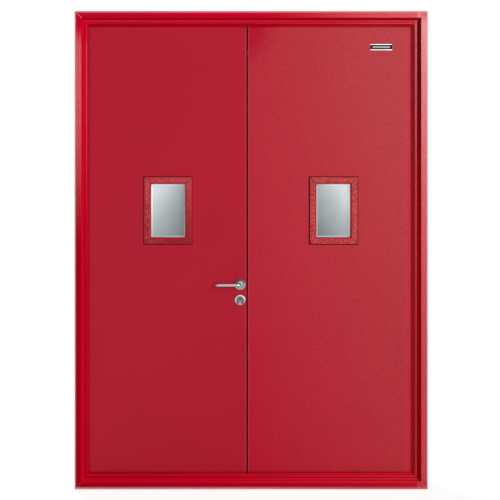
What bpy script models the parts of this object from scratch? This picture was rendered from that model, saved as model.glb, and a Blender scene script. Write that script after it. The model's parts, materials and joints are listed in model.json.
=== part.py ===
"""Double fire door: two flush steel leaves in a four-sided pressed steel frame.

Metres, +Z up. X runs across the door, Y from the push side (front) to the pull
side (back), and the origin is under the middle of the sill at half the frame's
depth. Both leaves hinge on their outer edges and swing back, towards +Y.

The frame's section is drawn with two distances: u, inwards from the frame's
outer edge, and d, backwards from its front plane.
"""

import math

import bmesh
import bpy
from mathutils import Matrix, Vector

MM = 0.001

# Overall size
FRAME_WIDTH = 1650 * MM
FRAME_HEIGHT = 2235 * MM

# Clearances
SEAT = 0.3 * MM
LEAF_CLEARANCE = 5 * MM
RUNNING = 0.5 * MM

# Pressed frame section
SHEET = 1.5 * MM
FACE_WIDTH = 31 * MM
SLOPE_WIDTH = 8 * MM
LEDGE_DEPTH = 35 * MM
LEDGE_WIDTH = 11 * MM
STOP_SLOPE_WIDTH = 8 * MM
STOP_SLOPE_DEPTH = 10 * MM
STOP_THICKNESS = 13 * MM
STOP_HEIGHT = 16 * MM
LIP_LENGTH = 12 * MM
OUTER_BEND = 3 * MM
INNER_BEND = 1.5 * MM
BEND_STEPS = 3

# Tie plates that bridge the open side of the section
TIE_WIDTH = 60 * MM
TIE_SHEET = 2 * MM
TIE_LAP = 6 * MM
TIE_WELD = 0.3 * MM
TIE_FROM_CORNER = 350 * MM
CROSS_TIE_SPACING = 550 * MM

# Seals on the frame
SEAL_THICKNESS = 1.7 * MM
STOP_SEAL_WIDTH = 9 * MM
STOP_SEAL_INSET = 2 * MM
FIRE_STRIP_WIDTH = 10 * MM
FIRE_STRIP_INSET = 9 * MM

# Leaves
LEAF_THICKNESS = 50 * MM
LEAF_EDGE_RADIUS = 1.5 * MM
MEETING_X = -15 * MM
MEETING_GAP = 7.5 * MM

# Meeting seals, staggered in depth so that they pass each other
MEETING_SEAL_WIDTH = 5.4 * MM
MEETING_SEAL_ROOT = 3 * MM
MEETING_SEAL_SLIT = 0.8 * MM
LEFT_SEAL_DEPTH = 33 * MM
RIGHT_SEAL_DEPTH = 44 * MM

# Vision panels
VISION_X = 393 * MM
VISION_Z = 1303 * MM
SIGHT_WIDTH = 160 * MM
SIGHT_HEIGHT = 254 * MM
BEAD_INNER_SLOPE = 5 * MM
BEAD_FACE = 26 * MM
BEAD_OUTER_SLOPE = 5 * MM
BEAD_HEIGHT = 10 * MM
BEAD_STEP = 3 * MM
BEAD_LEG = 6 * MM
GLASS_THICKNESS = 24 * MM
GLASS_BITE = 8 * MM
OPENING_MARGIN = 10 * MM

# Hinges
HINGE_FROM_SILL = 300 * MM
HINGE_FROM_HEAD = 295 * MM
HINGE_LENGTH = 120 * MM
HINGE_PLATE = 3 * MM
HINGE_PLATE_WIDTH = 35 * MM
KNUCKLE_RADIUS = 8 * MM
KNUCKLE_STANDOFF = 9 * MM
PIN_RADIUS = 5 * MM
PIN_HEAD = 3 * MM

# Lock, lever and cylinder
BACKSET = 30.3 * MM
LOCK_DEPTH = 17 * MM
LEVER_Z = 952 * MM
CYLINDER_DROP = 72 * MM
FOREND_LENGTH = 235 * MM
FOREND_WIDTH = 20 * MM
FOREND_THICKNESS = 3 * MM
FOREND_CENTRE_DROP = 40 * MM
CASE_LENGTH = 165 * MM
CASE_THICKNESS = 15 * MM
CASE_BEHIND_SPINDLE = 15 * MM
LATCH_LENGTH = 24 * MM
LATCH_WIDTH = 12 * MM
LATCH_Z = 0.0
DEADBOLT_LENGTH = 34 * MM
DEADBOLT_WIDTH = 12 * MM
DEADBOLT_Z = -68 * MM
BOLT_DEPTH = 20 * MM
SPINDLE_SIZE = 8 * MM
SPINDLE_BORE = 6.5 * MM
ROSE_RADIUS = 25 * MM
ROSE_THICKNESS = 9 * MM
ROSE_EDGE = 2.5 * MM
ROSE_RIM = 6.5 * MM
ROSE_DISH = 1.8 * MM
ESCUTCHEON_DROP = 2.5 * MM
PLUG_RADIUS = 8.5 * MM
TAIL_WIDTH = 10 * MM
CYLINDER_HEIGHT = 33 * MM
CYLINDER_PROUD = 0.6 * MM
KEYWAY_WIDTH = 2.4 * MM
KEYWAY_HEIGHT = 8.5 * MM
KEYWAY_DEPTH = 16 * MM
NECK_RADIUS = 9 * MM
NECK_BORE_RADIUS = 10 * MM
COLLAR_RADIUS = 11.5 * MM
COLLAR_LENGTH = 4 * MM
LEVER_RADIUS = 7 * MM
LEVER_REACH = 123 * MM
LEVER_PROJECTION = 58 * MM
LEVER_BEND = 16 * MM
RETURN_BEND = 14 * MM
RETURN_CLEARANCE = 13 * MM
LEVER_END_RADIUS = 1.5 * MM
SOCKET_DEPTH = 26 * MM

# Keep on the passive leaf
STRIKE_LENGTH = 190 * MM
FLUSH_BOLT_LENGTH = 200 * MM
FLUSH_BOLT_EDGE = 30 * MM
BOLT_BODY_DEPTH = 22 * MM
BOLT_THUMB_LENGTH = 60 * MM
BOLT_THUMB_WIDTH = 9 * MM
BOLT_THUMB_DEPTH = 2 * MM

# Facets
ROUND_SIDES = 32
TUBE_SIDES = 20
KNUCKLE_SIDES = 24
BEND_SEGMENTS = 8
EDGE_STEPS = 4
ROUND_ANGLE = 35
FOLD_ANGLE = 50

# Depths and distances that follow from the sizes above
FRONT_SLOPE_U = FACE_WIDTH + SLOPE_WIDTH
LEDGE_U = FRONT_SLOPE_U + LEDGE_WIDTH
STOP_U = LEDGE_U + STOP_SLOPE_WIDTH
STOP_FACE_DEPTH = LEDGE_DEPTH + STOP_SLOPE_DEPTH
STOP_BACK_DEPTH = STOP_FACE_DEPTH + STOP_THICKNESS
REBATE_U = STOP_U - STOP_HEIGHT
LEAF_U = REBATE_U + SEAT + SEAL_THICKNESS + LEAF_CLEARANCE
LEAF_FRONT_DEPTH = STOP_BACK_DEPTH + SEAT + SEAL_THICKNESS + LEAF_CLEARANCE
FRAME_DEPTH = LEAF_FRONT_DEPTH + LEAF_THICKNESS
Y_FRONT = -FRAME_DEPTH / 2
LEAF_FRONT_Y = Y_FRONT + LEAF_FRONT_DEPTH
LEAF_BACK_Y = LEAF_FRONT_Y + LEAF_THICKNESS
LEAF_MID_Y = (LEAF_FRONT_Y + LEAF_BACK_Y) / 2
LEAF_BOTTOM = LEAF_U
LEAF_TOP = FRAME_HEIGHT - LEAF_U
HINGE_AXIS_U = (REBATE_U + LEAF_U) / 2
HINGE_AXIS_Y = LEAF_BACK_Y + KNUCKLE_STANDOFF
LEFT_MEETING_X = MEETING_X - MEETING_GAP / 2
RIGHT_MEETING_X = MEETING_X + MEETING_GAP / 2
LOCK_X = LEFT_MEETING_X - BACKSET
LOCK_Y = LEAF_FRONT_Y + LOCK_DEPTH
CYLINDER_Z = LEVER_Z - CYLINDER_DROP
FOREND_Z = LEVER_Z - FOREND_CENTRE_DROP
GLASS_FRONT_Y = LEAF_MID_Y - GLASS_THICKNESS / 2
TOP_HINGE_Z = FRAME_HEIGHT - HINGE_FROM_HEAD
HINGE_HEIGHTS = {
    "low": HINGE_FROM_SILL,
    "middle": (HINGE_FROM_SILL + TOP_HINGE_Z) / 2,
    "top": TOP_HINGE_Z,
}

RED = (0.42, 0.018, 0.038)
LEFT, RIGHT = -1, 1


def clear_scene():
    for item in list(bpy.data.objects):
        bpy.data.objects.remove(item, do_unlink=True)


def material(name, colour, roughness, metallic=0.0):
    """One Principled material with the given colour and finish."""
    result = bpy.data.materials.new(name)
    result.use_nodes = True
    shader = result.node_tree.nodes["Principled BSDF"]
    shader.inputs["Base Color"].default_value = (*colour, 1.0)
    shader.inputs["Roughness"].default_value = roughness
    shader.inputs["Metallic"].default_value = metallic
    return result


def loft(name, loops, closed=False, smooth=None):
    """A solid skinned over loops of equal length, capped unless it closes on itself."""
    mesh = bmesh.new()
    rows = [[mesh.verts.new(point) for point in loop] for loop in loops]
    count = len(rows[0])
    pairs = list(zip(rows, rows[1:]))
    if closed:
        pairs.append((rows[-1], rows[0]))
    else:
        mesh.faces.new(rows[0])
        mesh.faces.new(rows[-1])
    for first, second in pairs:
        for index in range(count):
            after = (index + 1) % count
            mesh.faces.new((first[index], first[after], second[after], second[index]))
    bmesh.ops.recalc_face_normals(mesh, faces=mesh.faces)
    data = bpy.data.meshes.new(name)
    mesh.to_mesh(data)
    mesh.free()
    if smooth is not None:
        data.shade_smooth()
        data.set_sharp_from_angle(angle=math.radians(smooth))
    result = bpy.data.objects.new(name, data)
    bpy.context.scene.collection.objects.link(result)
    return result


def place(item, location=(0, 0, 0), parent=None, finish=None):
    """Put an object at a world location, under a parent that is not turned."""
    item.parent = parent
    base = parent.location if parent else Vector((0, 0, 0))
    item.location = Vector(location) - base
    if finish:
        item.data.materials.clear()
        item.data.materials.append(finish)
    return item


def pivot(name, location, parent=None):
    """An empty on a joint's axis, which carries what turns there."""
    result = bpy.data.objects.new(name, None)
    bpy.context.scene.collection.objects.link(result)
    return place(result, location, parent)


def combine(item, tool, operation):
    """Cut or add a tool solid, which is used up."""
    modifier = item.modifiers.new(operation.lower(), "BOOLEAN")
    modifier.operation = operation
    modifier.solver = "EXACT"
    modifier.object = tool
    graph = bpy.context.evaluated_depsgraph_get()
    shaped = bpy.data.meshes.new_from_object(item.evaluated_get(graph))
    item.modifiers.clear()
    item.data = shaped
    bpy.data.objects.remove(tool, do_unlink=True)
    return item


def cut(item, tool):
    return combine(item, tool, "DIFFERENCE")


def add(item, tool):
    return combine(item, tool, "UNION")


def box(name, low, high):
    """A box from its lowest to its highest corner."""
    base = [(low[0], low[1]), (high[0], low[1]), (high[0], high[1]), (low[0], high[1])]
    return loft(name, [[(x, y, z) for x, y in base] for z in (low[2], high[2])])


def prism_z(name, outline, low, high, smooth=None):
    """An X-Y outline carried along Z."""
    return loft(name, [[(x, y, z) for x, y in outline] for z in (low, high)], smooth=smooth)


def prism_y(name, outline, low, high, smooth=None):
    """An X-Z outline carried along Y."""
    return loft(name, [[(x, y, z) for x, z in outline] for y in (low, high)], smooth=smooth)


def circle(radius, sides):
    steps = [2 * math.pi * index / sides for index in range(sides)]
    return [(radius * math.cos(angle), radius * math.sin(angle)) for angle in steps]


def rod_z(name, radius, low, high, sides=KNUCKLE_SIDES):
    return prism_z(name, circle(radius, sides), low, high, smooth=ROUND_ANGLE)


def turned_y(name, profile, closed=False):
    """A profile of radius and height turned about the Y axis."""
    loops = [[(x, height, z) for x, z in circle(radius, ROUND_SIDES)]
             for radius, height in profile]
    return loft(name, loops, closed=closed, smooth=ROUND_ANGLE)


def arc(centre, radius, start, end, steps):
    """Points on an arc, with angles in degrees."""
    angles = [math.radians(start + (end - start) * index / steps) for index in range(steps + 1)]
    return [(centre[0] + radius * math.cos(a), centre[1] + radius * math.sin(a)) for a in angles]


def stadium(width, length):
    """An upright slot outline with round ends."""
    radius = width / 2
    reach = length / 2 - radius
    top = arc((0, reach), radius, 0, 180, BEND_SEGMENTS)
    bottom = arc((0, -reach), radius, 180, 360, BEND_SEGMENTS)
    return top + bottom


# Folded sheet


def bend_corner(before, corner, after):
    """Points of the bend that rounds one corner of a folded sheet."""
    arrive = (corner - before).normalized()
    leave = (after - corner).normalized()
    turn = arrive.x * leave.y - arrive.y * leave.x
    radius = OUTER_BEND if turn > 0 else INNER_BEND
    angle = arrive.angle(leave)
    reach = radius * math.tan(angle / 2)
    inward = Vector((-arrive.y, arrive.x)) * math.copysign(1, turn)
    start = corner - arrive * reach
    centre = start + inward * radius
    points = []
    for step in range(BEND_STEPS + 1):
        swing = angle * step / BEND_STEPS
        points.append(centre - inward * radius * math.cos(swing) + arrive * radius * math.sin(swing))
    return points


def sheet_section(corners, thickness):
    """Closed outline of a folded sheet whose visible side runs through the corners."""
    path = [Vector(corner) for corner in corners]
    line = [path[0]]
    for before, corner, after in zip(path, path[1:], path[2:]):
        line += bend_corner(before, corner, after)
    line.append(path[-1])
    hidden = []
    for index, point in enumerate(line):
        arrive = (point - line[index - 1]).normalized() if index else None
        leave = (line[index + 1] - point).normalized() if index + 1 < len(line) else None
        arrive = arrive or leave
        leave = leave or arrive
        middle = (arrive + leave).normalized()
        normal = Vector((-middle.y, middle.x))
        hidden.append(point + normal * thickness / middle.dot(arrive))
    return [tuple(point) for point in line + hidden[::-1]]


def frame_section():
    """The pressed section: face, slope, ledge, second slope, stop, rebate, back and lips."""
    corners = [
        (0, LIP_LENGTH),
        (0, 0),
        (FACE_WIDTH, 0),
        (FRONT_SLOPE_U, LEDGE_DEPTH),
        (LEDGE_U, LEDGE_DEPTH),
        (STOP_U, STOP_FACE_DEPTH),
        (STOP_U, STOP_BACK_DEPTH),
        (REBATE_U, STOP_BACK_DEPTH),
        (REBATE_U, FRAME_DEPTH),
        (0, FRAME_DEPTH),
        (0, FRAME_DEPTH - LIP_LENGTH),
    ]
    return sheet_section(corners, SHEET)


def tie_section():
    """A joggled plate between the lips, flush with them and lapped behind both."""
    near = LIP_LENGTH + RUNNING
    far = FRAME_DEPTH - LIP_LENGTH - RUNNING
    lap = SHEET - TIE_WELD
    back = lap + TIE_SHEET
    return [
        (0, near),
        (0, far),
        (lap, far),
        (lap, far + TIE_LAP),
        (back, far + TIE_LAP),
        (back, near - TIE_LAP),
        (lap, near - TIE_LAP),
        (lap, near),
    ]


# Each side of the frame maps a place along it, u and d to the model's axes
def on_sill(along, u, d):
    return (along - FRAME_WIDTH / 2, Y_FRONT + d, u)


def on_head(along, u, d):
    return (along - FRAME_WIDTH / 2, Y_FRONT + d, FRAME_HEIGHT - u)


def on_left_jamb(along, u, d):
    return (u - FRAME_WIDTH / 2, Y_FRONT + d, along)


def on_right_jamb(along, u, d):
    return (FRAME_WIDTH / 2 - u, Y_FRONT + d, along)


SIDES = {
    "sill": (on_sill, FRAME_WIDTH),
    "head": (on_head, FRAME_WIDTH),
    "jamb_left": (on_left_jamb, FRAME_HEIGHT),
    "jamb_right": (on_right_jamb, FRAME_HEIGHT),
}


def mitred_bar(name, section, side, smooth=None):
    """A section carried along one side of the frame, with a mitre at each end."""
    where, length = SIDES[side]
    gap = SEAT / math.sqrt(2)
    start = [where(u + gap, u, d) for u, d in section]
    end = [where(length - u - gap, u, d) for u, d in section]
    return loft(name, [start, end], smooth=smooth)


def block_on(side, name, along, u, d):
    """A box on one side of the frame, given by its spans."""
    where, _ = SIDES[side]
    one = where(along[0], u[0], d[0])
    two = where(along[1], u[1], d[1])
    low = [min(pair) for pair in zip(one, two)]
    high = [max(pair) for pair in zip(one, two)]
    return box(name, low, high)


def tie_plate(side, centre):
    where, _ = SIDES[side]
    ends = (centre - TIE_WIDTH / 2, centre + TIE_WIDTH / 2)
    return loft("tie_plate", [[where(end, u, d) for u, d in tie_section()] for end in ends])


def hinge_plate_depths():
    """Where a hinge plate starts and ends, from the front plane."""
    return FRAME_DEPTH - HINGE_PLATE_WIDTH, FRAME_DEPTH


def build_frame(finish):
    """Four pressed members, tied across their open side and notched for the hinges."""
    section = frame_section()
    plate_start, plate_end = hinge_plate_depths()
    for side, (_, length) in SIDES.items():
        member = mitred_bar("frame_" + side, section, side, smooth=FOLD_ANGLE)
        if side.startswith("jamb"):
            ties = (TIE_FROM_CORNER, length / 2, length - TIE_FROM_CORNER)
        else:
            ties = [length / 2 + step * CROSS_TIE_SPACING for step in (-1, 0, 1)]
        for centre in ties:
            add(member, tie_plate(side, centre))
        if side.startswith("jamb"):
            for height in HINGE_HEIGHTS.values():
                reach = HINGE_LENGTH / 2 + SEAT
                cut(member, block_on(
                    side, "hinge_notch", (height - reach, height + reach),
                    (REBATE_U - HINGE_PLATE - SEAT, REBATE_U + SEAT),
                    (plate_start - SEAT, plate_end + SEAT)))
        place(member, finish=finish)


def build_frame_seals(seal, strip):
    """Gaskets on the back of the stop, and fire strips round the leaf's edge."""
    outer = STOP_U - STOP_SEAL_INSET - STOP_SEAL_WIDTH
    inner = STOP_U - STOP_SEAL_INSET
    near = STOP_BACK_DEPTH + SEAT
    far = near + SEAL_THICKNESS
    crown = SEAL_THICKNESS / 2
    gasket = [(outer, near), (outer, far - crown), (outer + crown, far),
              (inner - crown, far), (inner, far - crown), (inner, near)]
    for side in SIDES:
        place(mitred_bar("stop_seal_" + side, gasket, side), finish=seal)
    base = REBATE_U + SEAT
    front = STOP_BACK_DEPTH + FIRE_STRIP_INSET
    back = front + FIRE_STRIP_WIDTH
    flat = [(base, front), (base + SEAL_THICKNESS, front),
            (base + SEAL_THICKNESS, back), (base, back)]
    for side in ("head", "jamb_left", "jamb_right"):
        place(mitred_bar("fire_strip_" + side, flat, side), finish=strip)


# Leaves


def hinge_x(side):
    return side * (FRAME_WIDTH / 2 - HINGE_AXIS_U)


def leaf_span(side):
    """The leaf's hinge edge and meeting edge along X."""
    hinge_edge = side * (FRAME_WIDTH / 2 - LEAF_U)
    meeting_edge = LEFT_MEETING_X if side == LEFT else RIGHT_MEETING_X
    return hinge_edge, meeting_edge


def soften(item, width):
    """Round every edge of a box by one small radius."""
    mesh = bmesh.new()
    mesh.from_mesh(item.data)
    bmesh.ops.bevel(mesh, geom=mesh.edges[:], offset=width, segments=2, profile=0.5,
                    affect="EDGES")
    mesh.to_mesh(item.data)
    mesh.free()
    return item


def opening_half_size():
    return (SIGHT_WIDTH / 2 + OPENING_MARGIN, SIGHT_HEIGHT / 2 + OPENING_MARGIN)


def cut_vision_opening(panel, side):
    half_x, half_z = opening_half_size()
    centre = side * VISION_X
    cut(panel, box("vision_opening",
                   (centre - half_x, LEAF_FRONT_Y - LEAF_CLEARANCE, VISION_Z - half_z),
                   (centre + half_x, LEAF_BACK_Y + LEAF_CLEARANCE, VISION_Z + half_z)))


def cut_hinge_pockets(panel, side):
    """Pockets that let the hinge plates in flush with the leaf's edge."""
    jamb = "jamb_left" if side == LEFT else "jamb_right"
    plate_start, plate_end = hinge_plate_depths()
    for height in HINGE_HEIGHTS.values():
        reach = HINGE_LENGTH / 2 + SEAT
        cut(panel, block_on(
            jamb, "hinge_pocket", (height - reach, height + reach),
            (LEAF_U - SEAT, LEAF_U + HINGE_PLATE + SEAT),
            (plate_start - SEAT, plate_end + SEAT)))


def seal_centre_y(side):
    return LEAF_FRONT_Y + (LEFT_SEAL_DEPTH if side == LEFT else RIGHT_SEAL_DEPTH)


def cut_seal_groove(panel, side):
    """The groove that holds the meeting seal, from top to bottom."""
    _, edge = leaf_span(side)
    middle = seal_centre_y(side)
    half = MEETING_SEAL_WIDTH / 2 + SEAT
    root = edge + side * (MEETING_SEAL_ROOT + SEAT)
    low_x, high_x = sorted((root, edge - side * MEETING_GAP / 2))
    cut(panel, box("seal_groove", (low_x, middle - half, LEAF_BOTTOM - LEAF_CLEARANCE),
                   (high_x, middle + half, LEAF_TOP + LEAF_CLEARANCE)))


def edge_pocket(panel, side, centre_z, length, depth, width):
    """A pocket sunk from the meeting edge, at the lock's depth in the leaf."""
    _, edge = leaf_span(side)
    low_x, high_x = sorted((edge + side * depth, edge - side * MEETING_GAP / 2))
    cut(panel, box("edge_pocket",
                   (low_x, LOCK_Y - width / 2, centre_z - length / 2),
                   (high_x, LOCK_Y + width / 2, centre_z + length / 2)))


def cylinder_outline(clearance=0.0):
    """The lock cylinder's section: a round plug over a narrow tail with a round foot."""
    plug = PLUG_RADIUS + clearance
    foot = TAIL_WIDTH / 2 + clearance
    join = math.degrees(math.asin(foot / plug))
    foot_z = PLUG_RADIUS - CYLINDER_HEIGHT + TAIL_WIDTH / 2
    top = arc((0, 0), plug, -90 + join, 270 - join, 2 * BEND_SEGMENTS)
    bottom = arc((0, foot_z), foot, 180, 360, BEND_SEGMENTS)
    return top + bottom


def at_lock(tool, z):
    """Move a tool made round the Y axis onto the lock's line at one height."""
    tool.location = (LOCK_X, 0, z)
    return tool


def cylinder_cutter(low_y, high_y):
    return at_lock(prism_y("cylinder_cut", cylinder_outline(SEAT), low_y, high_y), CYLINDER_Z)


def spindle_cutter(radius, low_y, high_y):
    return at_lock(prism_y("spindle_cut", circle(radius, KNUCKLE_SIDES), low_y, high_y), LEVER_Z)


def case_depth():
    return BACKSET + CASE_BEHIND_SPINDLE


def cut_lock(panel):
    """Pockets for the lock's forend and case, and bores for the spindle and cylinder."""
    edge_pocket(panel, LEFT, FOREND_Z, FOREND_LENGTH + 2 * SEAT,
                FOREND_THICKNESS + SEAT, FOREND_WIDTH + 2 * SEAT)
    edge_pocket(panel, LEFT, FOREND_Z, CASE_LENGTH + 2 * SEAT,
                case_depth() + SEAT, CASE_THICKNESS + 2 * SEAT)
    low, high = LEAF_FRONT_Y - LEAF_CLEARANCE, LEAF_BACK_Y + LEAF_CLEARANCE
    cut(panel, spindle_cutter(NECK_BORE_RADIUS, low, high))
    cut(panel, cylinder_cutter(low, high))


def flush_bolt_heights():
    """Middle heights of the top and bottom flush bolts."""
    reach = FLUSH_BOLT_EDGE + FLUSH_BOLT_LENGTH / 2
    return {"top": LEAF_TOP - reach, "bottom": LEAF_BOTTOM + reach}


def cut_keeps(panel):
    """Pockets for the strike plate, the bolts that it takes and the two flush bolts."""
    edge_pocket(panel, RIGHT, FOREND_Z, STRIKE_LENGTH + 2 * SEAT,
                FOREND_THICKNESS + SEAT, FOREND_WIDTH + 2 * SEAT)
    for offset, length, _ in bolt_windows():
        edge_pocket(panel, RIGHT, LEVER_Z + offset, length + 2 * SEAT,
                    BOLT_DEPTH, LATCH_WIDTH + 2 * SEAT)
    for height in flush_bolt_heights().values():
        edge_pocket(panel, RIGHT, height, FLUSH_BOLT_LENGTH + 2 * SEAT,
                    BOLT_BODY_DEPTH + SEAT, FOREND_WIDTH + 2 * SEAT)


def build_leaf(name, side, parent, finish):
    """One flush leaf, as the closed steel box that its skins and core make."""
    hinge_edge, meeting_edge = leaf_span(side)
    low_x, high_x = sorted((hinge_edge, meeting_edge))
    panel = box(name + "_leaf_panel", (low_x, LEAF_FRONT_Y, LEAF_BOTTOM),
                (high_x, LEAF_BACK_Y, LEAF_TOP))
    soften(panel, LEAF_EDGE_RADIUS)
    cut_vision_opening(panel, side)
    cut_hinge_pockets(panel, side)
    cut_seal_groove(panel, side)
    if side == LEFT:
        cut_lock(panel)
    else:
        cut_keeps(panel)
    panel.data.transform(parent_shift(parent))
    place(panel, parent.location, parent, finish)


def parent_shift(parent):
    """Moves mesh points from the model's axes to those of a pivot."""
    return Matrix.Translation(-parent.location)


def build_meeting_seal(name, side, parent, finish):
    """A seal rooted in the meeting edge, whose tip stops just short of the middle."""
    _, edge = leaf_span(side)
    middle = seal_centre_y(side)
    half = MEETING_SEAL_WIDTH / 2
    tip_half = half / 2
    root = edge + side * MEETING_SEAL_ROOT
    shoulder = edge - side * SEAT
    tip = MEETING_X + side * MEETING_SEAL_SLIT / 2
    round_start = tip + side * tip_half / 2
    outline = [
        (root, -half), (shoulder, -half), (round_start, -tip_half), (tip, -tip_half / 2),
        (tip, tip_half / 2), (round_start, tip_half), (shoulder, half), (root, half),
    ]
    local = [(x - edge, y) for x, y in outline]
    seal = prism_z(name + "_meeting_seal", local, 0, LEAF_TOP - LEAF_BOTTOM)
    place(seal, (edge, middle, LEAF_BOTTOM), parent, finish)


# Vision panels


def bead_section():
    """Glazing bead, as distance out from the sight edge and height over the leaf."""
    leg_end = -(LEAF_THICKNESS - GLASS_THICKNESS) / 2 + SEAT
    face_in = BEAD_INNER_SLOPE
    face_out = face_in + BEAD_FACE
    return [
        (face_out + BEAD_OUTER_SLOPE, SEAT),
        (face_out, BEAD_HEIGHT),
        (face_in, BEAD_HEIGHT),
        (0, BEAD_HEIGHT - BEAD_STEP),
        (0, leg_end),
        (BEAD_LEG, leg_end),
        (BEAD_LEG, SEAT),
    ]


def build_bead(name, outward, centre, parent, finish):
    """A mitred glazing bead round the sight opening, on the front or back face."""
    loops = []
    for sign_x, sign_z in ((-1, -1), (1, -1), (1, 1), (-1, 1)):
        loops.append([
            (sign_x * (SIGHT_WIDTH / 2 + out), outward * height,
             sign_z * (SIGHT_HEIGHT / 2 + out))
            for out, height in bead_section()])
    place(loft(name, loops, closed=True), centre, parent, finish)


def build_vision_panel(name, side, parent, finish, glass):
    x = side * VISION_X
    build_bead(name + "_vision_bead_front", -1, (x, LEAF_FRONT_Y, VISION_Z), parent, finish)
    build_bead(name + "_vision_bead_back", 1, (x, LEAF_BACK_Y, VISION_Z), parent, finish)
    half_x = SIGHT_WIDTH / 2 + GLASS_BITE
    half_z = SIGHT_HEIGHT / 2 + GLASS_BITE
    pane = box(name + "_vision_glass", (-half_x, 0, -half_z),
               (half_x, GLASS_THICKNESS, half_z))
    place(pane, (x, GLASS_FRONT_Y, VISION_Z), parent, glass)


# Hinges, made round their own axis: local x points into the doorway on the left side


def hinge_plate_box(side, name, u, length_z, back):
    """A flat hinge plate; u is its span from the outer edge, back its end behind the axis."""
    plate_start, _ = hinge_plate_depths()
    low_y = Y_FRONT + plate_start - HINGE_AXIS_Y
    ends = sorted(-side * (edge - HINGE_AXIS_U) for edge in u)
    return box(name, (ends[0], low_y, -length_z), (ends[1], back, length_z))


def knuckle_third(index):
    """The span along the pin of the low, middle or top knuckle."""
    third = HINGE_LENGTH / 3
    low = -HINGE_LENGTH / 2 + index * third
    return low + (RUNNING / 2 if index else 0), low + third - (RUNNING / 2 if index < 2 else 0)


def knuckle_arm(side, u, index):
    """The plate's reach from the leaf's back face to the middle of one knuckle."""
    ends = sorted(-side * (edge - HINGE_AXIS_U) for edge in u)
    low_z, high_z = knuckle_third(index)
    return box("arm", (ends[0], -KNUCKLE_STANDOFF - HINGE_PLATE, low_z), (ends[1], 0, high_z))


def build_frame_hinge_half(name, side, height, finish):
    """The fixed half: plate in the jamb, outer knuckles and the pin."""
    u = (REBATE_U - HINGE_PLATE, REBATE_U)
    half = hinge_plate_box(side, name, u, HINGE_LENGTH / 2, -KNUCKLE_STANDOFF)
    for index in (0, 2):
        add(half, knuckle_arm(side, u, index))
        add(half, rod_z("knuckle", KNUCKLE_RADIUS, *knuckle_third(index)))
    reach = HINGE_LENGTH / 2 + PIN_HEAD
    add(half, rod_z("pin", PIN_RADIUS, -reach, reach))
    place(half, (hinge_x(side), HINGE_AXIS_Y, height), None, finish)


def build_leaf_hinge_half(name, side, height, parent, finish):
    """The moving half: plate in the leaf's edge and the middle knuckle."""
    u = (LEAF_U, LEAF_U + HINGE_PLATE)
    half = hinge_plate_box(side, name, u, HINGE_LENGTH / 2, -KNUCKLE_STANDOFF)
    add(half, knuckle_arm(side, u, 1))
    add(half, rod_z("knuckle", KNUCKLE_RADIUS, *knuckle_third(1)))
    cut(half, rod_z("pin_bore", PIN_RADIUS + SEAT, -HINGE_LENGTH, HINGE_LENGTH))
    place(half, (hinge_x(side), HINGE_AXIS_Y, height), parent, finish)


def build_hinges(name, side, parent, finish):
    for level, height in HINGE_HEIGHTS.items():
        label = name + "_hinge_" + level
        build_frame_hinge_half(label + "_frame_half", side, height, finish)
        build_leaf_hinge_half(label + "_leaf_half", side, height, parent, finish)


# Lock and furniture on the active leaf


def bolt_windows():
    """Offset from the lever's height, length and width of the latch and dead bolt."""
    return ((LATCH_Z, LATCH_LENGTH, LATCH_WIDTH),
            (DEADBOLT_Z, DEADBOLT_LENGTH, DEADBOLT_WIDTH))


def edge_plate(name, side, length):
    """A plate flush in the meeting edge, with a window for each bolt."""
    _, edge = leaf_span(side)
    low_x, high_x = sorted((edge, edge + side * FOREND_THICKNESS))
    half = FOREND_WIDTH / 2
    return box(name, (low_x, LOCK_Y - half, FOREND_Z - length / 2),
               (high_x, LOCK_Y + half, FOREND_Z + length / 2))


def bolt_cutter(side, offset, length, width, depth, clearance):
    _, edge = leaf_span(side)
    low_x, high_x = sorted((edge - side * RUNNING, edge + side * depth))
    half_y = width / 2 + clearance
    half_z = length / 2 + clearance
    z = LEVER_Z + offset
    return box("bolt_cut", (low_x, LOCK_Y - half_y, z - half_z),
               (high_x, LOCK_Y + half_y, z + half_z))


def build_mortise_lock(parent, finish):
    """Forend and case in one, bored for the spindle, the cylinder and the bolts."""
    lock = edge_plate("mortise_lock", LEFT, FOREND_LENGTH)
    half_y = CASE_THICKNESS / 2
    case = box("case", (LEFT_MEETING_X - case_depth(), LOCK_Y - half_y,
                        FOREND_Z - CASE_LENGTH / 2),
               (LEFT_MEETING_X - FOREND_THICKNESS / 2, LOCK_Y + half_y,
                FOREND_Z + CASE_LENGTH / 2))
    add(lock, case)
    low, high = LOCK_Y - FOREND_WIDTH, LOCK_Y + FOREND_WIDTH
    cut(lock, spindle_cutter(SPINDLE_BORE, low, high))
    cut(lock, cylinder_cutter(low, high))
    for offset, length, width in bolt_windows():
        cut(lock, bolt_cutter(LEFT, offset, length, width, BOLT_DEPTH, SEAT))
    lock.data.transform(parent_shift(parent))
    place(lock, parent.location, parent, finish)


def build_bolt(name, offset, length, width, parent, finish, nose):
    """A bolt drawn back flush with the forend; a latch has a sloped nose."""
    half_y = width / 2
    depth = BOLT_DEPTH - SEAT
    outline = [(0, -half_y), (0, half_y - nose), (-nose, half_y), (-depth, half_y),
               (-depth, -half_y)]
    if not nose:
        del outline[2]
    bolt = prism_z(name, outline, -length / 2, length / 2)
    place(bolt, (LEFT_MEETING_X, LOCK_Y, LEVER_Z + offset), parent, finish)


def disc_profile(bore):
    """Turned section of a rose, from its seat to its dished face."""
    foot = SEAT
    top = SEAT + ROSE_THICKNESS
    edge = ROSE_EDGE
    crown = arc((ROSE_RADIUS - edge, top - edge), edge, 0, 90, EDGE_STEPS)
    dish_radius = ROSE_RADIUS - ROSE_RIM
    dish = [(dish_radius, top), (dish_radius - ROSE_DISH, top - ROSE_DISH)]
    return [(bore, foot), (ROSE_RADIUS, foot)] + crown + dish + [(bore, top - ROSE_DISH)]


def facing(profile, outward):
    return [(radius, outward * height) for radius, height in profile]


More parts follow.
